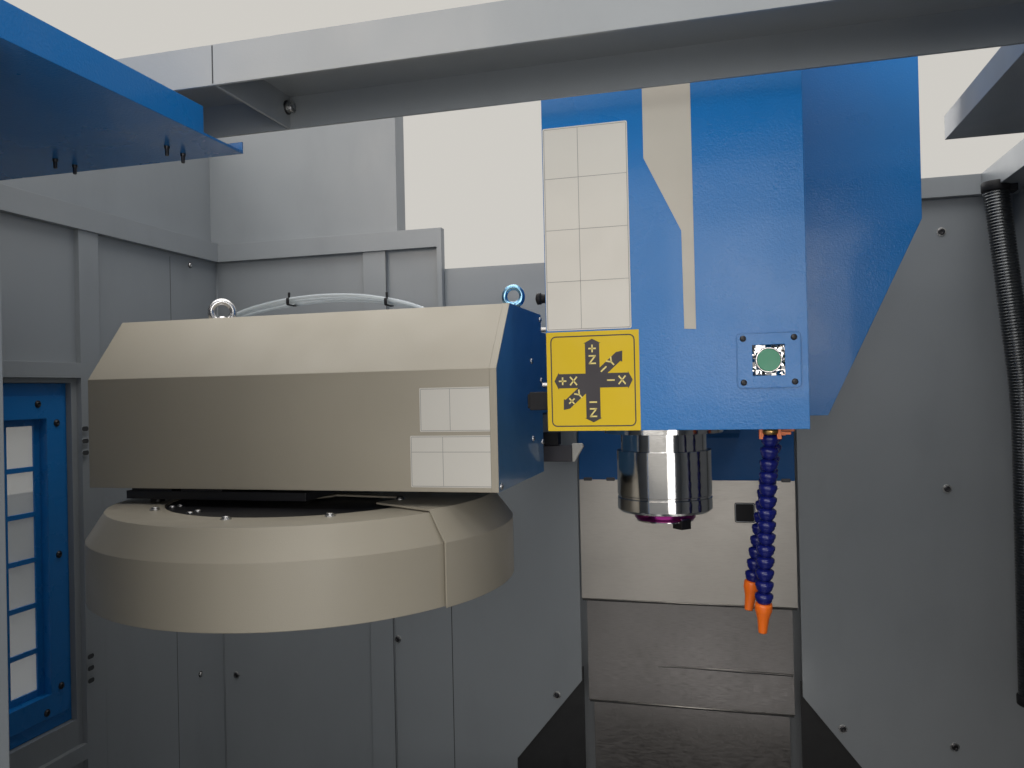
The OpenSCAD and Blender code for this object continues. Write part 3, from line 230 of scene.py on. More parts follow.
MATERIALS = {
    "blue_paint": paint("blue_paint", BLUE, rough=0.28, peel=380, depth=0.6, mottle=0.05, dirt=0.06, coat=0.15,
                        dent=0.15, shine=0.3),
    "dark_blue_paint": paint("dark_blue_paint", DARK_BLUE, rough=0.5, peel=120, depth=0.5, mottle=0.10, dirt=0.15,
                             edge=0.003, shine=0.3),
    "grey_paint": paint("grey_paint", GREY, rough=0.34, peel=420, depth=0.18, mottle=0.09, dirt=0.18, coat=0.10,
                        dent=0.14),
    "beige_paint": paint("beige_paint", BEIGE, rough=0.40, peel=700, depth=0.30, mottle=0.03, dirt=0.08,
                         edge=0.002, dent=0.05),
    "casting_paint": paint("casting_paint", (0.28, 0.29, 0.30), rough=0.5, peel=90, depth=0.7, mottle=0.08,
                           dirt=0.3, edge=0.004),
    "black_paint": paint("black_paint", (0.008, 0.008, 0.010), rough=0.42, peel=300, depth=0.3, mottle=0.2),
    "ground_steel": metal("ground_steel", (0.55, 0.55, 0.56), rough=0.22, brush=GROUND),
    "cover_steel": metal("cover_steel", (0.42, 0.395, 0.365), rough=0.40, brush=DRAWN, scratch=0.22, cloud=0.20,
                         scale=50),
    "black_rubber": plastic("black_rubber", (0.012, 0.012, 0.013), rough=0.6, grain=500, depth=0.4),
    "clear_glass": clear("clear_glass", (0.50, 0.53, 0.54), alpha=0.5, rough=0.2),
    "clear_tube": clear("clear_tube", (0.55, 0.60, 0.63), alpha=0.55, rough=0.12),
    "hose_plastic": plastic("hose_plastic", (0.006, 0.010, 0.130), rough=0.26),
    "nozzle_plastic": plastic("nozzle_plastic", (0.85, 0.16, 0.012), rough=0.35),
    "button_green": plastic("button_green", (0.0, 0.21, 0.10), rough=0.3),
    "button_red": plastic("button_red", (0.55, 0.01, 0.01), rough=0.3),
    "black_plastic": plastic("black_plastic", (0.012, 0.012, 0.014), rough=0.55, shine=0.2),
    "conduit_plastic": metal("conduit_steel", (0.10, 0.105, 0.11), rough=0.32, brush=(1, 1, 6), scratch=0.2,
                             cloud=0.2, scale=120),
}
BLACK = MATERIALS["black_plastic"]
ORANGE = MATERIALS["nozzle_plastic"]
POLISHED = metal("polished_steel", (0.62, 0.61, 0.60), rough=0.10, brush=DRAWN, scratch=0.05, cloud=0.04, scale=90)
SCREW = metal("screw_steel", (0.42, 0.42, 0.42), scratch=0.1, cloud=0.2, scale=400)
DARK_SCREW = metal("dark_screw", (0.06, 0.06, 0.065), rough=0.4, scratch=0.1, cloud=0.2, scale=400)
# A darker copy of the cover steel for the lower way covers: painted shade
SHADED_COVER_STEEL = metal("shaded_cover_steel", (0.21, 0.20, 0.195), rough=0.46, brush=DRAWN, scratch=0.22, cloud=0.25,
                   scale=50)
BRASS = metal("brass", (0.42, 0.26, 0.10), rough=0.35, scratch=0.1, cloud=0.25, scale=200)
TINTED = metal("blued_steel", (0.22, 0.42, 0.60), rough=0.2, scratch=0.1, cloud=0.25, scale=200)
LABEL_WHITE = plastic("label_white", (0.60, 0.575, 0.52), rough=0.45, grain=200, depth=0.03, mottle=0.02)
LABEL_YELLOW = plastic("label_yellow", (0.66, 0.46, 0.012), rough=0.5, grain=200, depth=0.03, mottle=0.03,
                       shine=0.25)
LABEL_INK = plastic("label_ink", (0.05, 0.045, 0.05), rough=0.5, grain=200, depth=0.03, shine=0.25)
LABEL_LINE = plastic("label_line", (0.28, 0.27, 0.26), rough=0.5, grain=200, depth=0.03)
PALE_INK = plastic("pale_ink", (0.75, 0.62, 0.20), rough=0.45, grain=200, depth=0.03)
CREAM = plastic("cream_finish", (0.46, 0.43, 0.37), rough=0.5, grain=1500, depth=0.3, mottle=0.04)
KEY_GREY = plastic("key_grey", (0.42, 0.43, 0.44), rough=0.45, grain=600, depth=0.2, mottle=0.04)
# Dark joints between sheets, and painted shade in screw slots, slot holes, under louvres and along a crease
SEAM_AND_SHADE = plastic("seam_shadow", (0.03, 0.032, 0.035), rough=0.7, grain=300, depth=0.1, mottle=0.1)
DOOR_GLASS = clear("door_glass", (0.20, 0.24, 0.25), alpha=0.35, rough=0.06)
MAUVE = paint("mauve_grey_paint", (0.035, 0.033, 0.042), rough=0.45, peel=400, depth=0.3, mottle=0.05)
DULL_BLUE = paint("dull_blue_paint", (0.070, 0.190, 0.340), rough=0.36, peel=300, depth=0.3, mottle=0.08,
                  dirt=0.1, coat=0.5)

# Nodes whose finish isn't their slot's own; the lower way covers get a darker copy of the cover steel, painted
# shade
OWN_FINISH = {"spindle_cartridge": POLISHED, "spindle": POLISHED, "way_cover_2": SHADED_COVER_STEEL,
              "way_cover_3": SHADED_COVER_STEEL, "fixed_way_cover": SHADED_COVER_STEEL, "magazine_bracket": DULL_BLUE,
              "door_pane": DOOR_GLASS}


def dress_nodes():
    """Gives every node of the frame the finish of its record slot, or its own."""
    for entry in frame["record"]["subparts"]:
        name = entry["node"]
        obj = frame["nodes"][name]
        obj.data.materials.clear()
        obj.data.materials.append(OWN_FINISH.get(name, MATERIALS[entry["material_slot"]]))


def axes(right, up, at=(0, 0, 0)):
    """Local X along right, Y along up, Z out of the face, origin at a point in millimetres."""
    x, y = Vector(right), Vector(up)
    turn = Matrix((x, y, x.cross(y))).transposed().to_4x4()
    return Matrix.Translation(Vector(at)) @ turn


def front(y, x=0, z=0):
    """A face that looks to the front, at y; local axes are X and Z."""
    return axes((1, 0, 0), (0, 0, 1), (x, y, z))


def rear(y):
    """A face that looks to the back, at y; local axes are -X and Z."""
    return axes((-1, 0, 0), (0, 0, 1), (0, y, 0))


def rightward(x, y=0, z=0):
    """A face that looks to +X, at x; local axes are Y and Z."""
    return axes((0, 1, 0), (0, 0, 1), (x, y, z))


def leftward(x, y=0, z=0):
    """A face that looks to -X, at x; local axes are -Y and Z."""
    return axes((0, -1, 0), (0, 0, 1), (x, y, z))


def level(z, x=0, y=0):
    """A face that looks up, at z; also a shift in a face's own axes."""
    return Matrix.Translation(Vector((x, y, z)))


def downward(z, x=0, y=0):
    """A face that looks down, at z; local axes are X and -Y."""
    return axes((1, 0, 0), (0, -1, 0), (x, y, z))


def roll(degrees):
    """A turn about a face's own Z."""
    return Matrix.Rotation(math.radians(degrees), 4, "Z")


def around(x, y, r, degrees):
    """The point at an angle on a circle about x, y."""
    a = math.radians(degrees)
    return x + r * math.cos(a), y + r * math.sin(a)


def circle(r, steps, z=0.0):
    """Points of a circle about local Z."""
    angles = [math.tau * k / steps for k in range(steps)]
    return [(r * math.cos(a), r * math.sin(a), z) for a in angles]


def round_box(x0, y0, x1, y1, r):
    """Outline of a rectangle with round corners."""
    steps = 5
    points = []
    corners = ((x1 - r, y0 + r, -90), (x1 - r, y1 - r, 0), (x0 + r, y1 - r, 90), (x0 + r, y0 + r, 180))
    for cx, cy, start in corners:
        for k in range(steps + 1):
            a = math.radians(start + 90 * k / steps)
            points.append((cx + r * math.cos(a), cy + r * math.sin(a)))
    return points


# Screw heads as rings of (radius, height, 1 where the ring has six sides), in radii of the head
HEADS = {
    "pan": ((1.0, 0.0, 0), (1.0, 0.25, 0), (0.88, 0.5, 0), (0.55, 0.64, 0), (0.15, 0.68, 0)),
    "cap": ((1.0, 0.0, 0), (1.0, 0.95, 0), (0.93, 1.05, 0), (0.55, 1.05, 1), (0.5, 0.45, 1)),
    "hex": ((1.0, 0.0, 0), (0.97, 0.2, 0), (0.8, 0.42, 0), (0.5, 0.52, 1), (0.46, 0.2, 1)),
}


class Part:
    """The faces of one piece, drawn in millimetres."""

    def __init__(self):
        self.bm = bmesh.new()
        self.slots = []

    def slot(self, material):
        if material not in self.slots:
            self.slots.append(material)
        return self.slots.index(material)

    def skin(self, rows, material, place=Matrix.Identity(4), smooth=True, caps=(True, True)):
        """Joins rings of as many points each into a skin; caps close its first and last ring."""
        index = self.slot(material)
        made = [[self.bm.verts.new((place @ Vector(p)) * MM) for p in row] for row in rows]
        count = len(rows[0])
        for low, high in zip(made, made[1:]):
            for k in range(count):
                n = (k + 1) % count
                face = self.bm.faces.new((low[k], low[n], high[n], high[k]))
                face.material_index = index
                face.smooth = smooth
        if caps[0]:
            self.bm.faces.new(list(reversed(made[0]))).material_index = index
        if caps[1]:
            self.bm.faces.new(made[-1]).material_index = index

    def lathe(self, profile, material, place=Matrix.Identity(4), steps=24, smooth=True, caps=(True, True)):
        """Turns a profile of radii and heights about local Z."""
        self.skin([circle(r, steps, z) for r, z in profile], material, place, smooth, caps)

    def prism(self, outline, z0, z1, material, place=Matrix.Identity(4)):
        """Raises an outline from z0 to z1."""
        self.skin([[(x, y, z) for x, y in outline] for z in (z0, z1)], material, place, False)

    def block(self, low, high, material, place=Matrix.Identity(4)):
        """A box between two corners."""
        (x0, y0, z0), (x1, y1, z1) = low, high
        self.prism([(x0, y0), (x1, y0), (x1, y1), (x0, y1)], z0, z1, material, place)

    def plate(self, x0, y0, x1, y1, material, place, thick=0.5, r=2.0):
        """A thin plate with round corners."""
        self.prism(round_box(x0, y0, x1, y1, r), 0.0, thick, material, place)

    def frame(self, x0, y0, x1, y1, r, width, z0, z1, material, place):
        """A ring of one width along a rounded rectangle."""
        outer = round_box(x0, y0, x1, y1, r)
        inner = round_box(x0 + width, y0 + width, x1 - width, y1 - width, max(0.5, r - width))
        rows = [[(x, y, z) for x, y in line] for line, z in
                ((outer, z0), (outer, z1), (inner, z1), (inner, z0), (outer, z0))]
        self.skin(rows, material, place, False, (False, False))

    def tube(self, points, radius, material, steps):
        """A round tube along points; radius is one number or one for each point."""
        points = [Vector(p) for p in points]
        radii = radius if isinstance(radius, (list, tuple)) else [radius] * len(points)
        side = None
        rows = []
        for k, p in enumerate(points):
            along = (points[min(k + 1, len(points) - 1)] - points[max(k - 1, 0)]).normalized()
            if side is None:
                side = along.cross(Vector((0, 0, 1)) if abs(along.z) < 0.9 else Vector((0, 1, 0))).normalized()
            side = (side - along * side.dot(along)).normalized()
            other = along.cross(side)
            rows.append([p + side * u + other * v for u, v, _ in circle(radii[k], steps)])
        self.skin(rows, material)

    def screw(self, place, r, material=SCREW, style="hex"):
        """A button head with a hexagon socket, a pan head or a cap head; its face looks along local Z."""
        steps = 18
        sixth = math.pi / 3
        rings = []
        for radius, height, hexed in HEADS[style]:
            ring = []
            for k in range(steps):
                a = math.tau * k / steps
                reach = r * radius
                if hexed:
                    reach *= 0.9 / math.cos((a + sixth / 2) % sixth - sixth / 2)
                ring.append((reach * math.cos(a), reach * math.sin(a), r * height))
            rings.append(ring)
        self.skin(rings, material, place, True, (False, True))
        # A pan head's slot is a thin dark cross: painted shade in the recess
        if style == "pan":
            for x, y in ((r * 0.09, r * 0.5), (r * 0.5, r * 0.09)):
                self.block((-x, -y, r * 0.6), (x, y, r * 0.69), SEAM_AND_SHADE, place)

    def washer(self, place, r, thick, material):
        self.lathe([(r, 0), (r, thick * 0.7), (r - thick * 0.3, thick)], material, place, 20, False, (False, True))

    def bolt(self, place, r, washer_r, thick, lift, finishes, style="hex"):
        """A screw on a washer; finishes are the washer's and the screw's."""
        self.washer(place, washer_r, thick, finishes[0])
        self.screw(place @ level(lift), r, finishes[1], style)

    def finish(self, name, body, slot, bevel=0.0, replaces=()):
        """Makes the object, rounds its edges by bevel, and lets it ride on a body of the record."""
        mesh = bpy.data.meshes.new(name)
        bmesh.ops.recalc_face_normals(self.bm, faces=self.bm.faces)
        self.bm.to_mesh(mesh)
        self.bm.free()
        for material in self.slots:
            mesh.materials.append(material)
        obj = bpy.data.objects.new(name, mesh)
        bpy.context.collection.objects.link(obj)
        if bevel:
            mod = obj.modifiers.new("edges", "BEVEL")
            mod.width = bevel * MM
            mod.segments = 2
            mod.limit_method = "ANGLE"
            mod.angle_limit = math.radians(40)
        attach(obj, body)
        if replaces:
            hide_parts(*replaces)


def node_high(node, axis):
    """A node's highest corner along X, Y or Z, in millimetres."""
    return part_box(node)[1]["XYZ".index(axis)] / MM


def node_low(node, axis):
    """A node's lowest corner along X, Y or Z, in millimetres."""
    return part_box(node)[0]["XYZ".index(axis)] / MM


def node_mid(node, axis):
    """The middle between both."""
    return (node_low(node, axis) + node_high(node, axis)) / 2


HEAD_FRONT = node_low("head_cover", "Y")


def ruled_plate(p, face, corners, columns, rows, corner=2, rule=0.8):
    """A blank white plate with a thin grey table; columns and rows are the middles of its lines."""
    x0, z0, x1, z1 = corners
    edge, ends, half = 1.5, 2, 0.4
    p.plate(x0, z0, x1, z1, LABEL_WHITE, face, FILM, corner)
    p.frame(x0 + edge, z0 + edge, x1 - edge, z1 - edge, 2, rule, FILM, PRINT, LABEL_LINE, face)
    for z in rows:
        p.block((x0 + ends, z - half, FILM), (x1 - ends, z + half, PRINT), LABEL_LINE, face)
    for x in columns:
        p.block((x - half, z0 + ends, FILM), (x + half, z1 - ends, PRINT), LABEL_LINE, face)


def head_labels():
    """The blank ruled plate on the front of the head."""
    p = Part()
    ruled_plate(p, front(HEAD_FRONT), (-151, 1733, -28, 2028), (-99.6,), (1954, 1879, 1804), 2.5, 0.9)
    p.finish("head_label_column", "head", "blue_paint")


# Strokes of the marks on the axis plate, and each mark's glyph, place and turn
GLYPHS = {
    "+": [(-5.5, 0, 5.5, 0), (0, -5.5, 0, 5.5)],
    "-": [(-5.5, 0, 5.5, 0)],
    "X": [(-5, -6, 5, 6), (-5, 6, 5, -6)],
    "Y": [(0, -6, 0, 0), (0, 0, -4.5, 6), (0, 0, 4.5, 6)],
    "Z": [(-5.2, 5.4, 5.2, 5.4), (4.4, 5.4, -4.4, -5.4), (-5.2, -5.4, 5.2, -5.4)],
}
MARKS = [("+", -44, 0, 0), ("X", -28, 0, 0), ("-", 26, 0, 0), ("X", 42, 0, 0),
         ("+", 0, 46, 0), ("Z", 0, 30, 0), ("-", 0, -31, 0), ("Z", 0, -46, 0),
         ("-", 16, 16, 42), ("Y", 27, 26, 42), ("Y", -20, -20, 42), ("+", -31, -29, 42)]


def axis_plate():
    """The yellow plate: a cross of four arrows, a slanted pair below it, and the axis marks in pale strokes."""
    p = Part()
    face = front(HEAD_FRONT)
    film, thin_ink, ink, mark = 0.5, 0.6, 0.63, 0.72
    p.plate(-152, 1588, -18, 1731, LABEL_YELLOW, face, film, 1.5)
    p.frame(-146, 1594, -24, 1725, 8, 1.7, film, thin_ink, LABEL_INK, face)
    centre = face @ level(0, -85, 1660)
    slanted = [(-6.8, 6), (6.8, 6), (6.8, 48), (9.5, 49), (-2, 60), (-6.8, 52)]
    for angle in (42, 222):
        p.prism(slanted, film, thin_ink, LABEL_INK, centre @ roll(angle - 90))
    half, wide, tip = 10.3, 12.6, 6.5
    outline = []
    for angle, reach in ((0, 57), (90, 60), (180, 56), (270, 60)):
        c, s = math.cos(math.radians(angle)), math.sin(math.radians(angle))
        for along, across in ((reach - tip, -half), (reach - tip, -wide), (reach, 0), (reach - tip, wide),
                              (reach - tip, half), (half, half)):
            outline.append((along * c - across * s, along * s + across * c))
    p.prism(outline, film, ink, LABEL_INK, centre)
    stroke = 2.1
    for glyph, x, z, angle in MARKS:
        turn = centre @ level(0, x, z) @ roll(angle)
        for x0, y0, x1, y1 in GLYPHS[glyph]:
            a, b = Vector((x0, y0, 0)), Vector((x1, y1, 0))
            side = (b - a).normalized().cross(Vector((0, 0, 1))) * stroke / 2
            p.prism([(q.x, q.y) for q in (a - side, a + side, b + side, b - side)], ink, mark, PALE_INK, turn)
    p.finish("axis_plate", "head", "blue_paint")


def head_stripe():
    """The pale band on the head cover, and the screws on its flanks."""
    p = Part()
    top = node_high("head_cover", "Z") - 1
    band = [(-6, top), (-6, 1972), (44, 1866), (45, 1729), (61, 1728), (60, top)]
    p.prism(band, 0, 0.5, CREAM, front(HEAD_FRONT))
    p.finish("head_stripe", "head", "beige_paint")
    p = Part()
    low = node_low("head_cover", "Z")
    x0, x1 = node_low("head_cover", "X"), node_high("head_cover", "X")
    for y_left, y_right in ((-110, -110), (30, 30), (170, 180)):
        for rise in (40, 380, 700):
            p.screw(leftward(x0, y_left, low + rise), 4)
            p.screw(rightward(x1, y_right, low + rise), 4)
    for z in (1655, 1738):
        place = leftward(x0, -142, z)
        p.screw(place, 5, DARK_SCREW, "cap")
        p.lathe([(3.5, 5), (3.5, 13), (2.5, 14)], SCREW, place, 14, False, (False, True))
    p.finish("head_cover_screws", "head", "blue_paint")


def bezel():
    """Screws of the push button's plate, its crimped nut and its ring."""
    p = Part()
    x, z = BUTTON
    plate = node_low("button_bezel", "Y")
    for sx in (-1, 1):
        for sz in (-1, 1):
            p.screw(front(plate, x + sx * 33, z + sz * 30), 4.2, DARK_SCREW, "pan")
    p.frame(x - 42, z - 38, x + 42, z + 38, 6, 1.6, 0, 0.5, MATERIALS["blue_paint"], front(plate))
    p.finish("bezel_screws", "head", "blue_paint")
    p = Part()
    crimp = front(plate + 5)
    lean = 0.7
    random.seed(11)
    for side in range(4):
        for k in range(7):
            reach = -19.5 + 6.5 * k
            dx, dz = ((reach, 17.5), (reach, -17.5), (20, reach * 0.85), (-20, reach * 0.85))[side]
            size = random.uniform(2.6, 4.2)
            tilt = Matrix.Rotation(random.uniform(-lean, lean), 4, "X")
            tilt = tilt @ Matrix.Rotation(random.uniform(-lean, lean), 4, "Y")
            place = crimp @ level(0, x + dx, z + dz) @ tilt
            p.plate(-size, -size, size, size, POLISHED, place, 0.7, 0.8)
    p.frame(x - 22.5, z - 19, x + 22.5, z + 17, 4, 6, -2, 0, POLISHED, crimp)
    p.finish("button_nut", "head", "ground_steel")
    p = Part()
    ring = [(17.5, 0), (17.5, 3), (16.6, 4), (15.4, 4), (15.2, 0)]
    p.lathe(ring, POLISHED, front(plate + 1, x, z), 32, True, (False, False))
    p.finish("button_ring", "head", "ground_steel")


def connectors():
    """Black plugs on the left flank of the head."""
    p = Part()
    x0 = node_low("head_cover", "X")
    side = leftward(x0)
    p.block((100, 1618, 0), (150, 1645, 32), BLACK, side)
    p.block((104, 1621, 32), (146, 1642, 36), BLACK, side)
    knob = leftward(x0, -118, 1787)
    p.lathe([(9, 0), (9, 10), (7, 11), (7, 17), (9, 18), (9, 24), (4, 26)], BLACK, knob, 20)
    p.finish("head_plugs", "head", "black_plastic", 1.2)


def switch_bracket():
    """Plate with a position switch and an air fitting, hung from the arm of the magazine."""
    p = Part()
    y0, y1 = 294, 306
    p.block((-300, y0, 1500), (-206, y1, 1533), MAUVE)
    p.block((-300, y0, 1533), (-272, y1, 1602), MAUVE)
    p.block((-304, y0 - 6, 1596), (-262, y1 + 14, 1602), MAUVE)
    p.finish("switch_plate", "frame", "grey_paint", 1.5)
    p = Part()
    p.block((-268, y0 - 8, 1534), (-232, y1 + 8, 1560), BLACK)
    p.lathe([(7, 0), (7, 6), (5, 8), (5, 14)], BLACK, leftward(-268, y0 + 4, 1547), 16)
    p.finish("switch_body", "frame", "black_plastic", 1.5)
    p = Part()
    elbow = [(-206, 1500), (-201, 1500), (-182, 1531), (-185, 1537), (-206, 1537)]
    p.prism(elbow, -5, 5, LABEL_WHITE, front(y0 + 6))
    p.finish("air_fitting", "frame", "black_plastic", 1.5)


def spindle_details():
    """Heat tint at the nose, keys and the flange's cap screws."""
    p = Part()
    tint = metal("heat_tint", (0.36, 0.035, 0.24), rough=0.2, brush=(1, 1, 8), scratch=0.05, cloud=0.25, scale=90)
    nose = node_low("spindle", "Z") + 9
    band = [(43.2, nose + 0.1), (48.2, nose + 5), (48.2, nose + 14), (48.1, nose + 16)]
    p.lathe(band, tint, steps=64, caps=(False, False))
    rim = [(38, nose - 0.3), (42.6, nose - 0.3), (43.3, nose + 0.2)]
    p.lathe(rim, POLISHED, steps=64, caps=(False, False))
    for angle in (135, -45):
        p.block((28.6, -9.4, nose - 9.4), (49.4, 9.4, nose + 5), DARK_SCREW, roll(angle))
        p.screw(roll(angle) @ downward(nose - 4.2, 39, 0), 4.5, DARK_SCREW, "cap")
    p.finish("spindle_nose", "spindle_rotor", "ground_steel")
    p = Part()
    flange = node_low("head_cover", "Z") - 6
    for k in range(8):
        p.screw(downward(flange, *around(0, 0, 85, 22.5 + 45 * k)), 4.6, DARK_SCREW, "cap")
    p.finish("flange_screws", "head", "ground_steel")


def hose_links(p, start, end, count):
    """A ball-jointed hose: each link is a cup over the last one's ball. Gives the place of its end."""
    a, b = Vector(start), Vector(end)
    along = (b - a).normalized()
    side = along.cross(Vector((0, 1, 0))).normalized()
    place = axes(side, along.cross(side), a)
    pitch, r = 17.9, 13.0
    link = [(6.5, -1), (r * 0.74, 0.2), (r, 2.6), (r, 7.0), (r * 0.90, 8.6), (r * 0.90, 9.6), (r * 0.86, 12.0),
            (r * 0.68, 15.2), (6.5, 17.4)]
    for k in range(count):
        p.lathe([(wide, k * pitch + z) for wide, z in link], MATERIALS["hose_plastic"], place, 28)
    return place @ level(count * pitch)


def coolant_lines():
    """Both coolant hoses with their nozzles, collars and orange clips."""
    p = Part()
    n = Part()
    top = node_low("head_cover", "Z")
    nozzle = [(8, -3), (12, -2), (12.4, 1), (12.4, 8), (11.2, 11), (8.2, 22), (6.4, 40), (6.2, 42), (3.2, 42),
              (3.0, 30)]
    collar = [(12.2, -9), (13.4, -6), (13.4, -1), (12, 0)]
    for x, y, end, count in ((158, -120, (145, -92, 1330), 14), (169, -40, (131, -40, 1345), 13)):
        tip = hose_links(p, (x, y, top - 10), end, count)
        n.lathe(nozzle, ORANGE, tip, 28)
        for middle in (x - 12, x + 12):
            n.block((middle - 3, y - 8, top - 16), (middle + 3, y + 8, top), ORANGE)
        p.lathe(collar, BRASS, level(top - 1, x, y), 28)
        n.block((x + 8, y - 5, top - 10), (x + 28, y + 5, top - 6), ORANGE)
    p.finish("coolant_hose_links", "head", "hose_plastic", replaces=("coolant_hoses",))
    n.finish("coolant_nozzles", "head", "nozzle_plastic", replaces=("hose_nozzles",))


def way_cover_details():
    """Bright lips, wipers, clips, a crease drawn as a line of painted shade with a steel ridge, and a blank plate
    on the telescopic covers.
    """
    for k, body in ((1, "head"), (2, "cover_2"), (3, "cover_3")):
        node = f"way_cover_{k}"
        y = node_low(node, "Y")
        low, high = node_low(node, "Z"), node_high(node, "Z")
        x0, x1 = node_low(node, "X"), node_high(node, "X")
        face = front(y)
        p = Part()
        p.tube([(x0 + 1, y - 0.6, low + 1.8), (x1 - 1, y - 0.6, low + 1.8)], 1.8, MATERIALS["cover_steel"], 8)
        p.block((x0 + 2, low - 2.5, -3), (x1 - 2, low, -0.2), MATERIALS["black_rubber"], face)
        if k == 1:
            for x in (-222, -168, 190, 224):
                p.plate(x - 10, high - 3, x + 10, high + 5, DARK_SCREW, face, 1.6, 2)
            p.plate(112, 1337, 157, 1382, BLACK, face, 1.0, 5)
            p.frame(113.5, 1338.5, 155.5, 1380.5, 4, 1.2, 1.0, 1.2, KEY_GREY, face)
        if k == 2:
            # The crease: a thin dark line of painted shade, with a steel ridge above it
            p.tube([(-68, y - 0.2, 996.5), (10, y - 0.5, 997.5), (110, y - 0.6, 996), (x1 - 2, y - 0.6, 995.5)],
                   [0.3, 0.8, 1.1, 1.0], SEAM_AND_SHADE, 6)
            p.tube([(-50, y - 0.2, 999.5), (60, y - 0.4, 1000.5), (x1 - 2, y - 0.5, 999)], [0.3, 0.9, 0.9],
                   MATERIALS["cover_steel"], 6)
        p.finish(f"cover_lip_{k}", body, "cover_steel")


def magazine_labels():
    """Two blank ruled plates on the front of the box."""
    p = Part()
    face = front(node_low("magazine_box", "Y"))
    ruled_plate(p, face, (-367, 1586, -247, 1655), (-316.6,), ())
    ruled_plate(p, face, (-384, 1499, -244, 1580), (-329.6,), (1554.4,))
    p.finish("box_labels", "frame", "beige_paint")


def box_edge():
    """The folded edge of the hood over the front of the blue end plate."""
    p = Part()
    x1 = node_high("magazine_bracket", "X")
    x0 = x1 - 12
    y0, z0, z1 = node_low("magazine_box", "Y"), node_low("magazine_box", "Z"), node_high("magazine_box", "Z")
    lip = 0.6
    inner = [(y0, z0), (y0, z0 + 191), (y0 + 87, z1), (y0 + 160, z1)]
    outer = [(y0 - lip, z0), (y0 - lip, z0 + 191.3), (y0 + 86.7, z1 + lip), (y0 + 160, z1 + lip)]
    rows = [[(x0, *a), (x1, *a), (x1, *b), (x0, *b)] for a, b in zip(outer, inner)]
    p.skin(rows, MATERIALS["beige_paint"], smooth=False)
    p.finish("hood_edge", "frame", "beige_paint")


def lifting_eyes():
    """Two lifting eyes: washer, collar and a ring that swells towards its foot."""
    p = Part()
    top = node_high("magazine_box", "Z")
    count, around_rod, ring_top = 40, 14, 44.5
    foot = [(15, 0), (15, 4), (14, 6), (9.5, 6), (8.5, 10), (8.5, 15)]
    eyes = ((-858, 70, 0.55, 20.5, MATERIALS["ground_steel"]), (-271, 100, 0.0, 16.5, TINTED))
    for x, y, turn, ring, finish in eyes:
        p.lathe(foot, finish, level(top, x, y), 28)
        middle = Vector((x, y, top + ring_top - ring))
        side = Vector((-math.sin(turn), math.cos(turn), 0))
        rows = []
        for k in range(count + 1):
            a = math.tau * k / count - math.pi / 2
            thick = ring * 0.32 + 1.4 * max(0.0, -math.sin(a))
            out = Vector((math.cos(a) * math.cos(turn), math.cos(a) * math.sin(turn), math.sin(a)))
            rod = circle(thick, around_rod)
            rows.append([middle + ring * out + out * u + side * v for u, v, _ in rod])
        p.skin(rows, finish, caps=(False, False))
    p.finish("lifting_eyes", "frame", "ground_steel", replaces=("eye_bolts",))


def air_lines():
    """Three clear air tubes that arch over the back of the box, with ties and fittings."""
    top = node_high("magazine_box", "Z") + 1
    left, right = TUBE_ENDS
    route = [(left, 0), (-928, 20), (-900, 34), (-850, 46), (-781, 56), (-700, 60), (-620, 56), (-550, 44),
             (-500, 30), (-474, 16), (right, 0)]
    p = Part()
    ties = Part()
    for k in range(3):
        y = BOX_BACK + 8 + 11 * k
        sag = 1 - 0.07 * k
        points = [Vector((x, y + 3 * math.sin(x * 0.011 + 2 * k), top + z * sag)) for x, z in route]
        p.tube(smooth_line(points, 5), 4.0, MATERIALS["clear_tube"], 12)
        for x in TUBE_ENDS:
            ties.lathe([(7.5, 0), (7.5, 7), (6, 9), (6, 14), (5, 15)], BLACK, level(top, x, y), 16)
    for x, z in ((-781, top + 53), (-560, top + 42)):
        ties.frame(BOX_BACK, z - 9, BOX_BACK + 37, z + 7, 5, 2.2, -3, 3, BLACK, rightward(x))
        ties.block((x - 2, BOX_BACK + 6, z + 6), (x + 2, BOX_BACK + 9, z + 18), BLACK)
    for x in TUBE_ENDS:
        ties.block((x - 14, BOX_BACK, top - 41), (x + 14, BOX_BACK + 38, top), BLACK)
    p.finish("air_lines", "frame", "clear_tube", replaces=("air_tubes",))
    ties.finish("air_fittings", "frame", "black_plastic")


def smooth_line(points, parts):
    """Catmull-Rom points through a route."""
    line = []
    last = len(points) - 1
    for k in range(last):
        a, b, c, d = points[max(k - 1, 0)], points[k], points[k + 1], points[min(k + 2, last)]
        for j in range(parts):
            t = j / parts
            bend = (2 * a - 5 * b + 4 * c - d) * t * t + (3 * b - a - 3 * c + d) * t ** 3
            line.append(0.5 * (2 * b + (c - a) * t + bend))
    return line + [points[-1]]


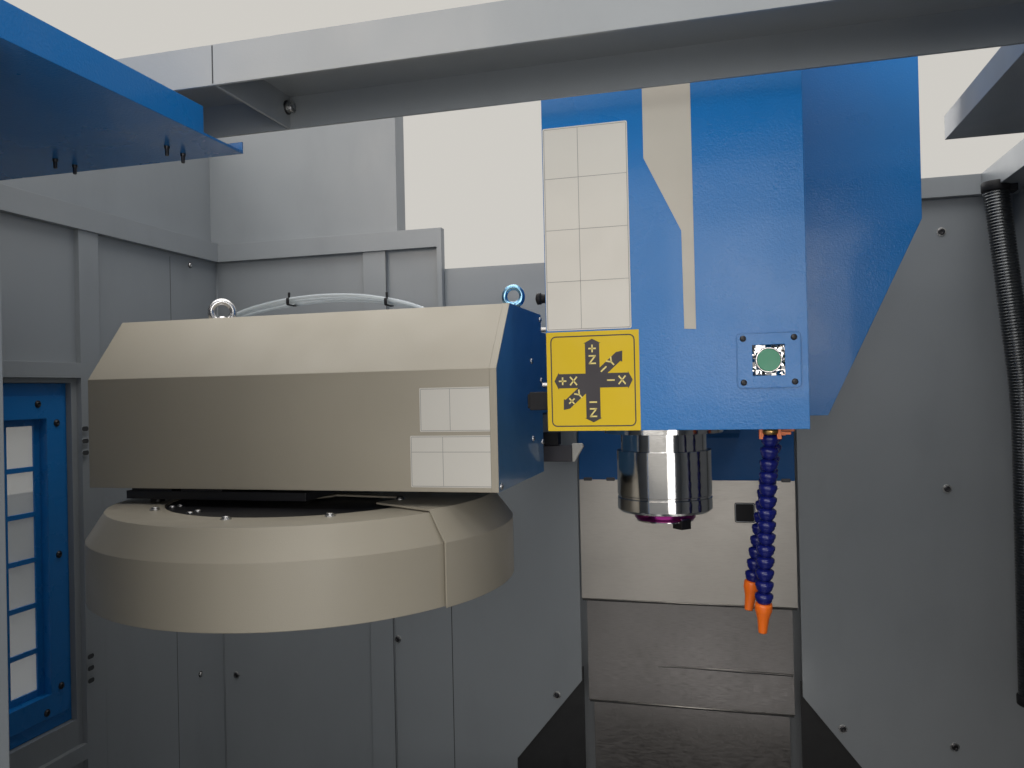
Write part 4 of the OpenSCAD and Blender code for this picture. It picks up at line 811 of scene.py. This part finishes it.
def magazine_screws():
    """Screws of the bracket, the round cover, the disc's hub and the swinging door."""
    p = Part()
    end = node_high("magazine_bracket", "X")
    for y, z in ((176, 1549), (176, 1666), (176, 1781), (-118, 1500), (100, 1560), (100, 1700)):
        p.screw(rightward(end, y, z), 5, SCREW, "pan")
    box_low = node_low("magazine_box", "Z")
    for x in (-960, -700, -330):
        p.screw(downward(box_low, x, 160), 5)
    p.finish("bracket_screws", "frame", "ground_steel")
    p = Part()
    disc = node_mid("tool_disc", "X")
    hat_top = node_high("hat_cover", "Z")
    for angle in (-134, -89, -54, 90, 130, 180):
        p.bolt(level(hat_top, *around(disc, 0, 258, angle)), 6, 8.5, 1.4, 1.2, (SCREW, SCREW), "pan")
    p.finish("hat_screws", "magazine_carriage", "ground_steel")
    p = Part()
    for angle, r in ((-143, 229), (-146, 216), (-118, 222), (-121, 204), (37, 229), (60, 222), (127, 229),
                     (-53, 222)):
        p.screw(level(HUB_TOP, *around(disc, 0, r, angle)), 5.5, SCREW, "pan")
    p.finish("hub_screws", "disc", "ground_steel")
    p = Part()
    plate = node_high("magazine_door", "Z")
    for y in (-53, 53):
        p.bolt(level(plate, -436, y), 6.5, 9, 1.5, 1.3, (SCREW, SCREW))
        p.screw(downward(plate - 3, -436, y), 6.5, SCREW, "cap")
    p.finish("swing_door_bolts", "swing_door", "ground_steel")


def guard_screws():
    """Screws of the guard's inner sheets and of the window's frame."""
    p = Part()
    for x, z in ((553, 1416), (332, 883), (555, 864), (-312, 908), (-1196, 894), (-724, 1019)):
        p.bolt(front(BACK, x, z), 6.5, 9.5, 1.5, 1.2, (SCREW, DARK_SCREW))
    for x, y, z in ((LEFT, 489, 929), (POST, 454, 1985)):
        p.bolt(rightward(x, y, z), 5.5, 7.5, 1.5, 1.2, (DARK_SCREW, SCREW))
    p.bolt(front(BACK, 554, 1968), 7, 9.5, 1.5, 1.2, (SCREW, DARK_SCREW))
    p.finish("wall_screws", "frame", "ground_steel")
    p = Part()
    face = node_high("window_frame", "X")
    sides = [(y, z) for y in (50, -649) for z in (1601, 1329, 1058)]
    upper = [(y, 1641) for y in (4, -210, -420, -610)]
    lower = [(y, 1016) for y in (13, -210, -420, -610)]
    for y, z in sides + upper + lower:
        p.bolt(rightward(face, y, z), 6, 7.5, 1.2, 1.0, (DARK_SCREW, DARK_SCREW))
    p.finish("window_screws", "frame", "black_paint")


def wall_slots():
    """Short slots in the post beside the window, each a dark plate of painted shade inside a grey rim."""
    p = Part()
    face = rightward(POST)
    for y, z in ((98, 1586), (98, 1560), (98, 1535), (102, 1103), (102, 1078), (102, 1052)):
        # Each slot's hole is a flat dark plate: painted shade
        p.prism(round_box(y - 9, z - 5, y + 9, z + 5, 4.9), 0, 0.4, SEAM_AND_SHADE, face)
        p.frame(y - 10.5, z - 6.5, y + 10.5, z + 6.5, 6.4, 1.5, 0, 0.6, MATERIALS["grey_paint"], face)
    p.finish("post_slots", "frame", "grey_paint")


def panel_seams():
    """Joints between the sheets of the guard as narrow dark gaps, and the sealant in its two rear corners."""
    p = Part()
    foot, thick = 403, 0.4
    for x, depth, top in ((-794, 0, 2010), (-730, 12, 2010), (-577, 0, 1950)):
        p.block((x - 1.2, foot, 0), (x + 0.6, top, thick), SEAM_AND_SHADE, front(BACK - depth))
    p.block((400, foot, 0), (401.2, 2000, thick), SEAM_AND_SHADE, rightward(LEFT))
    p.finish("panel_seams", "frame", "grey_paint")
    p = Part()
    for x, top in ((LEFT + 1, 2008), (692, 2030)):
        p.tube([(x, BACK - 1, 405), (x, BACK - 1, top)], 2.2, MATERIALS["grey_paint"], 8)
    p.finish("corner_sealant", "frame", "grey_paint")


def beam_details():
    """The joint and a bolt at the left end of the header beam."""
    p = Part()
    joint = node_low("header_beam", "X")
    p.block((joint - 0.8, 2036, 0), (joint + 0.8, 2083, SEAM_HIGH), SEAM_AND_SHADE, front(node_low("header_beam", "Y")))
    p.finish("beam_joint", "frame", "grey_paint")
    p = Part()
    p.bolt(rightward(joint + 4, -281, 2062), 8, 10, 2, 1.8, (DARK_SCREW, SCREW), "cap")
    p.finish("beam_bolt", "frame", "ground_steel")


def conduit():
    """Ribbed conduit on the right wall, straight and then leaning, with its clips."""
    x, y, lean = 668, 480, 40
    low, bend, high = Vector((x, y, 1010)), Vector((x, y, 1607)), Vector((x - lean, y, 2028))
    first, second = (bend - low).length, (high - bend).length
    valley, crest, pitch = 21.6, 23.4, 6.0
    points = []
    radii = []
    along = 0.0
    while along < first + second:
        for step, r in ((0, valley), (1.6, valley), (2.6, crest), (4.6, crest)):
            d = along + step
            if d > first + second:
                break
            spot = low.lerp(bend, d / first) if d < first else bend.lerp(high, (d - first) / second)
            ease = max(0.0, 1 - abs(d - first) / 60)
            points.append(spot - Vector((2.0 * ease * ease, 0, 0)))
            radii.append(r)
        along += pitch
    p = Part()
    p.tube(points, radii, MATERIALS["conduit_plastic"], 24)
    p.block((x, y - 15, 1012), (x + 25, y + 15, 1042), BLACK)
    p.block((x - 50, y - 15, 2020), (x - 5, y + 15, 2034), BLACK)
    for spot in (low, high):
        p.lathe([(24, -6), (26, -4), (26, 12), (24.2, 14)], BLACK, level(spot.z, spot.x, spot.y), 24)
    p.finish("ribbed_conduit", "frame", "conduit_plastic", replaces=("coolant_conduit",))


def door_details():
    """Bolts in the strip behind the left door's roof, and the gaskets of its window."""
    p = Part()
    strip = 1970
    for x, y in ((-757, -436), (-755, -405), (-583, -436), (-585, -402), (-1120, -436), (-1120, -405)):
        place = downward(strip, x, y)
        p.screw(place, 3.4, DARK_SCREW, "cap")
        p.lathe([(2.5, 3.2), (2.5, 11), (2, 12.5)], DARK_SCREW, place, 14, False, (False, True))
    p.finish("roof_bolts", "left_slider", "black_paint")
    p = Part()
    inset, proud = 4, 0.4
    x0, x1 = node_low("door_pane", "X") + inset, node_high("door_pane", "X") - inset
    z0, z1 = node_low("door_pane", "Z") + inset, node_high("door_pane", "Z") - inset
    outside = front(node_low("door_pane", "Y") - proud)
    inside = rear(node_high("door_pane", "Y") + proud)
    for place, left, right in ((outside, x0, x1), (inside, -x1, -x0)):
        p.frame(left, z0, right, z1, 8, 12, 0, 3, MATERIALS["black_rubber"], place)
    p.finish("door_gasket", "left_slider", "black_rubber")


def console_details():
    """Screen, soft keys, key caps, dial scale and the ring of the stop button."""
    p = Part()
    face = front(CONSOLE_UPPER)
    recess = front(CONSOLE_RECESS)
    glass = clear("screen_glass", (0.012, 0.018, 0.024), alpha=1.0, rough=0.08)
    p.plate(832, 1345, 1082, 1585, BLACK, recess, 1.5, 8)
    p.plate(848, 1364, 1066, 1570, glass, recess, 2.2, 3)
    p.finish("console_screen", "console_swing", "clear_glass")
    p = Part()
    for k in range(8):
        x = 842 + 29.5 * k
        p.plate(x, 1317, x + 24, 1331, KEY_GREY, face, 2.4, 2)
    for row in range(3):
        for k in range(9):
            x, z = 836 + 27.5 * k, 1268 + 15.5 * row
            p.plate(x, z, x + 23, z + 12, KEY_GREY if (k + row) % 4 else BLACK, face, 2.2, 2)
    p.finish("console_keys", "console_swing", "black_plastic", 0.5)
    p = Part()
    panel = front(node_low("console", "Y"))
    lamps = (MATERIALS["button_green"], MATERIALS["button_red"], LABEL_YELLOW)
    for i in range(6):
        for j in range(3):
            x, z = 833 + 42 * i, 1050 + 36 * j
            p.plate(x + 2, z + 2, x + 30, z + 24, KEY_GREY if (i + 2 * j) % 5 else BLACK, panel, 1.4, 3)
            if (i + j) % 2:
                lamp = lamps[(i + j) % 3]
                p.lathe([(1.8, 1.4), (1.8, 2.2), (1.0, 2.6)], lamp, panel @ level(0, x + 24, z + 19), 12)
    p.finish("panel_keys", "console_swing", "black_plastic")
    p = Part()
    stop_z = node_mid("stop_button", "Z")
    stop = front(CONSOLE_LOWER, node_mid("stop_button", "X"), stop_z)
    knob = front(CONSOLE_LOWER, node_mid("feed_knob", "X"), stop_z)
    p.lathe([(31, 0), (31, 1.2), (30, 1.8), (12.5, 1.8)], LABEL_YELLOW, stop, 40, False, (False, False))
    p.lathe([(30, 0), (30, 1), (18, 1)], KEY_GREY, knob, 40, False, (False, False))
    for k in range(13):
        p.block((-0.5, 21, 1), (0.5, 27 if k % 3 else 28.5, 1.25), LABEL_INK, knob @ roll(-120 + 20 * k))
    p.finish("dial_rings", "console_swing", "black_plastic")


def cabinet_details():
    """Louvres with a strip of painted shade under each, lock plate and screws of the electrical cabinet, and the
    glands below it.
    """
    p = Part()
    face = rear(CABINET_DOOR)
    for top in (1880, 860):
        for k in range(9):
            z = top - 14 * k
            sections = ((150, z, z - 2, 0), (148, z - 4, z - 9, 6), (150, z - 11, z - 11.5, 0))
            rows = [[(-w, a, out), (w, a, out), (w, b, out), (-w, b, out)] for w, a, b, out in sections]
            p.skin(rows, MATERIALS["grey_paint"], face, False)
            # A dark strip under each louvre's lip: painted shade in the opening
            p.block((-146, z - 10.6, 5), (146, z - 9, 5.6), SEAM_AND_SHADE, face)
    p.plate(-440, 1240, -396, 1380, BLACK, face, 1.5, 5)
    for z in (1254, 1366):
        p.screw(face @ level(1.5, -418, z), 4.5, SCREW, "pan")
    p.finish("cabinet_door_trim", "rear_door", "grey_paint")
    p = Part()
    floor = node_low("electrical_cabinet", "Z")
    side = node_high("electrical_cabinet", "X")
    for x in (300, 220):
        p.lathe([(22, 0), (22, 8), (17, 10), (17, 24), (12, 26)], BLACK, downward(floor, x, 1300), 24)
    for z in (800, 1300, 1800):
        for y in (1150, 1450):
            p.screw(rightward(side, y, z), 5, SCREW, "pan")
            p.screw(leftward(-side, y, z), 5, SCREW, "pan")
    p.finish("cabinet_glands", "frame", "black_plastic")


def outer_panels():
    """Joints and screws on the outer faces of the guard."""
    p = Part()
    left = leftward(node_low("left_wall", "X"))
    half, sunk = 0.6, -3.6
    for y, top in ((-380, 960), (130, 2370), (360, 2370)):
        p.block((-y - half, 420, 0), (-y + half, top, SEAM_HIGH), SEAM_AND_SHADE, left)
    for y in (-700, -400, -360, -100, 120, 350, 540):
        for z in (440, 930):
            p.screw(left @ level(sunk, -y, z), 5, SCREW, "pan")
    back = rear(BACK_OUTSIDE)
    for x in (-1150, -800, -500, 520, 640):
        for z in (460, 1200, 1950):
            p.screw(back @ level(0, -x, z), 5, SCREW, "pan")
    for x in (-900, 480):
        p.block((-x - half, 410, 0), (-x + half, 1990, SEAM_HIGH), SEAM_AND_SHADE, back)
    p.finish("outer_panel_screws", "frame", "grey_paint")
    p = Part()
    sill = front(node_low("front_frame", "Y"))
    for x in range(-1200, 601, 300):
        for z in (440, 640):
            p.screw(sill @ level(0, x, z), 5, SCREW, "pan")
    for x in (-820, -360, 100, 520):
        p.block((x - half, 405, 0), (x + half, 648, SEAM_HIGH), SEAM_AND_SHADE, sill)
    p.finish("front_panel_screws", "frame", "grey_paint")


def backdrop():
    """A pale painted floor."""
    size = 12.0
    mesh = bpy.data.meshes.new("floor")
    mesh.from_pydata([(-size, -size, 0), (size, -size, 0), (size, size, 0), (-size, size, 0)], [], [(0, 1, 2, 3)])
    floor = bpy.data.objects.new("floor", mesh)
    bpy.context.collection.objects.link(floor)
    s = Shader("floor_paint")
    s.link(s.mix(s.noise(0.8, 3), (0.50, 0.50, 0.49), (0.56, 0.56, 0.55)), s.bsdf.inputs["Base Color"])
    s.set(Roughness=0.7)
    mesh.materials.append(s.mat)


# Name, place, aim, size, watts and colour of each lamp
LAMPS = (
    ("overhead", (-0.6, -0.6, 5.4), (-0.3, 0.1, 1.5), (5.4, 5.4), 225, (1.0, 0.98, 0.95)),
    ("left_fill", (-0.9, -3.5, 2.3), (0.2, 0.3, 1.4), (2.6, 1.8), 24, (1.0, 0.97, 0.93)),
    ("front_fill", (0.35, -3.6, 2.05), (-0.1, 0.0, 1.7), (1.1, 1.0), 14, (1.0, 0.99, 0.97)),
    ("low_fill", (1.4, -3.3, 1.5), (-0.3, 0.3, 1.3), (1.3, 1.3), 22, (1.0, 0.98, 0.95)),
    ("upper_left", (-1.9, -3.6, 3.5), (-0.3, -0.4, 2.0), (1.6, 1.6), 26, (1.0, 0.86, 0.74)),
    ("behind", (-2.5, 4.5, 4.0), (0, 0.8, 1.2), (3.0, 3.0), 110, (1.0, 1.0, 1.0)),
)


def area_light(name, at, aim, size, power, colour):
    """A rectangular lamp; its place, aim and size are in metres."""
    data = bpy.data.lights.new(name, "AREA")
    data.shape = "RECTANGLE"
    data.size, data.size_y = size
    data.energy = power
    data.color = colour
    lamp = bpy.data.objects.new(name, data)
    lamp.location = at
    lamp.rotation_euler = (Vector(aim) - Vector(at)).to_track_quat("-Z", "Y").to_euler()
    bpy.context.collection.objects.link(lamp)


def studio():
    """Floor, lamps and a world that is pale to the camera and in clear or glossy pieces, and dim as a light."""
    backdrop()
    for lamp in LAMPS:
        area_light(*lamp)
    world = bpy.data.worlds.new("studio")
    bpy.context.scene.world = world
    world.use_nodes = True
    tree = world.node_tree
    tree.nodes.clear()
    out = tree.nodes.new("ShaderNodeOutputWorld")
    pale, dim = [tree.nodes.new("ShaderNodeBackground") for _ in range(2)]
    for node, colour, strength in ((pale, (0.62, 0.60, 0.56, 1), 1.0), (dim, (0.92, 0.95, 1.0, 1), 0.36)):
        node.inputs["Color"].default_value = colour
        node.inputs["Strength"].default_value = strength
    path = tree.nodes.new("ShaderNodeLightPath")
    seen = path.outputs["Is Camera Ray"]
    for ray in ("Is Glossy Ray", "Is Transmission Ray"):
        either = tree.nodes.new("ShaderNodeMath")
        either.operation = "MAXIMUM"
        tree.links.new(seen, either.inputs[0])
        tree.links.new(path.outputs[ray], either.inputs[1])
        seen = either.outputs[0]
    mix = tree.nodes.new("ShaderNodeMixShader")
    tree.links.new(seen, mix.inputs["Fac"])
    tree.links.new(dim.outputs[0], mix.inputs[1])
    tree.links.new(pale.outputs[0], mix.inputs[2])
    tree.links.new(mix.outputs[0], out.inputs["Surface"])
    bpy.context.scene.view_settings.view_transform = "Standard"


make_camera()
dress_nodes()
head_labels()
axis_plate()
head_stripe()
bezel()
connectors()
switch_bracket()
spindle_details()
coolant_lines()
way_cover_details()
magazine_labels()
box_edge()
lifting_eyes()
air_lines()
magazine_screws()
guard_screws()
wall_slots()
panel_seams()
beam_details()
conduit()
door_details()
console_details()
cabinet_details()
outer_panels()
studio()
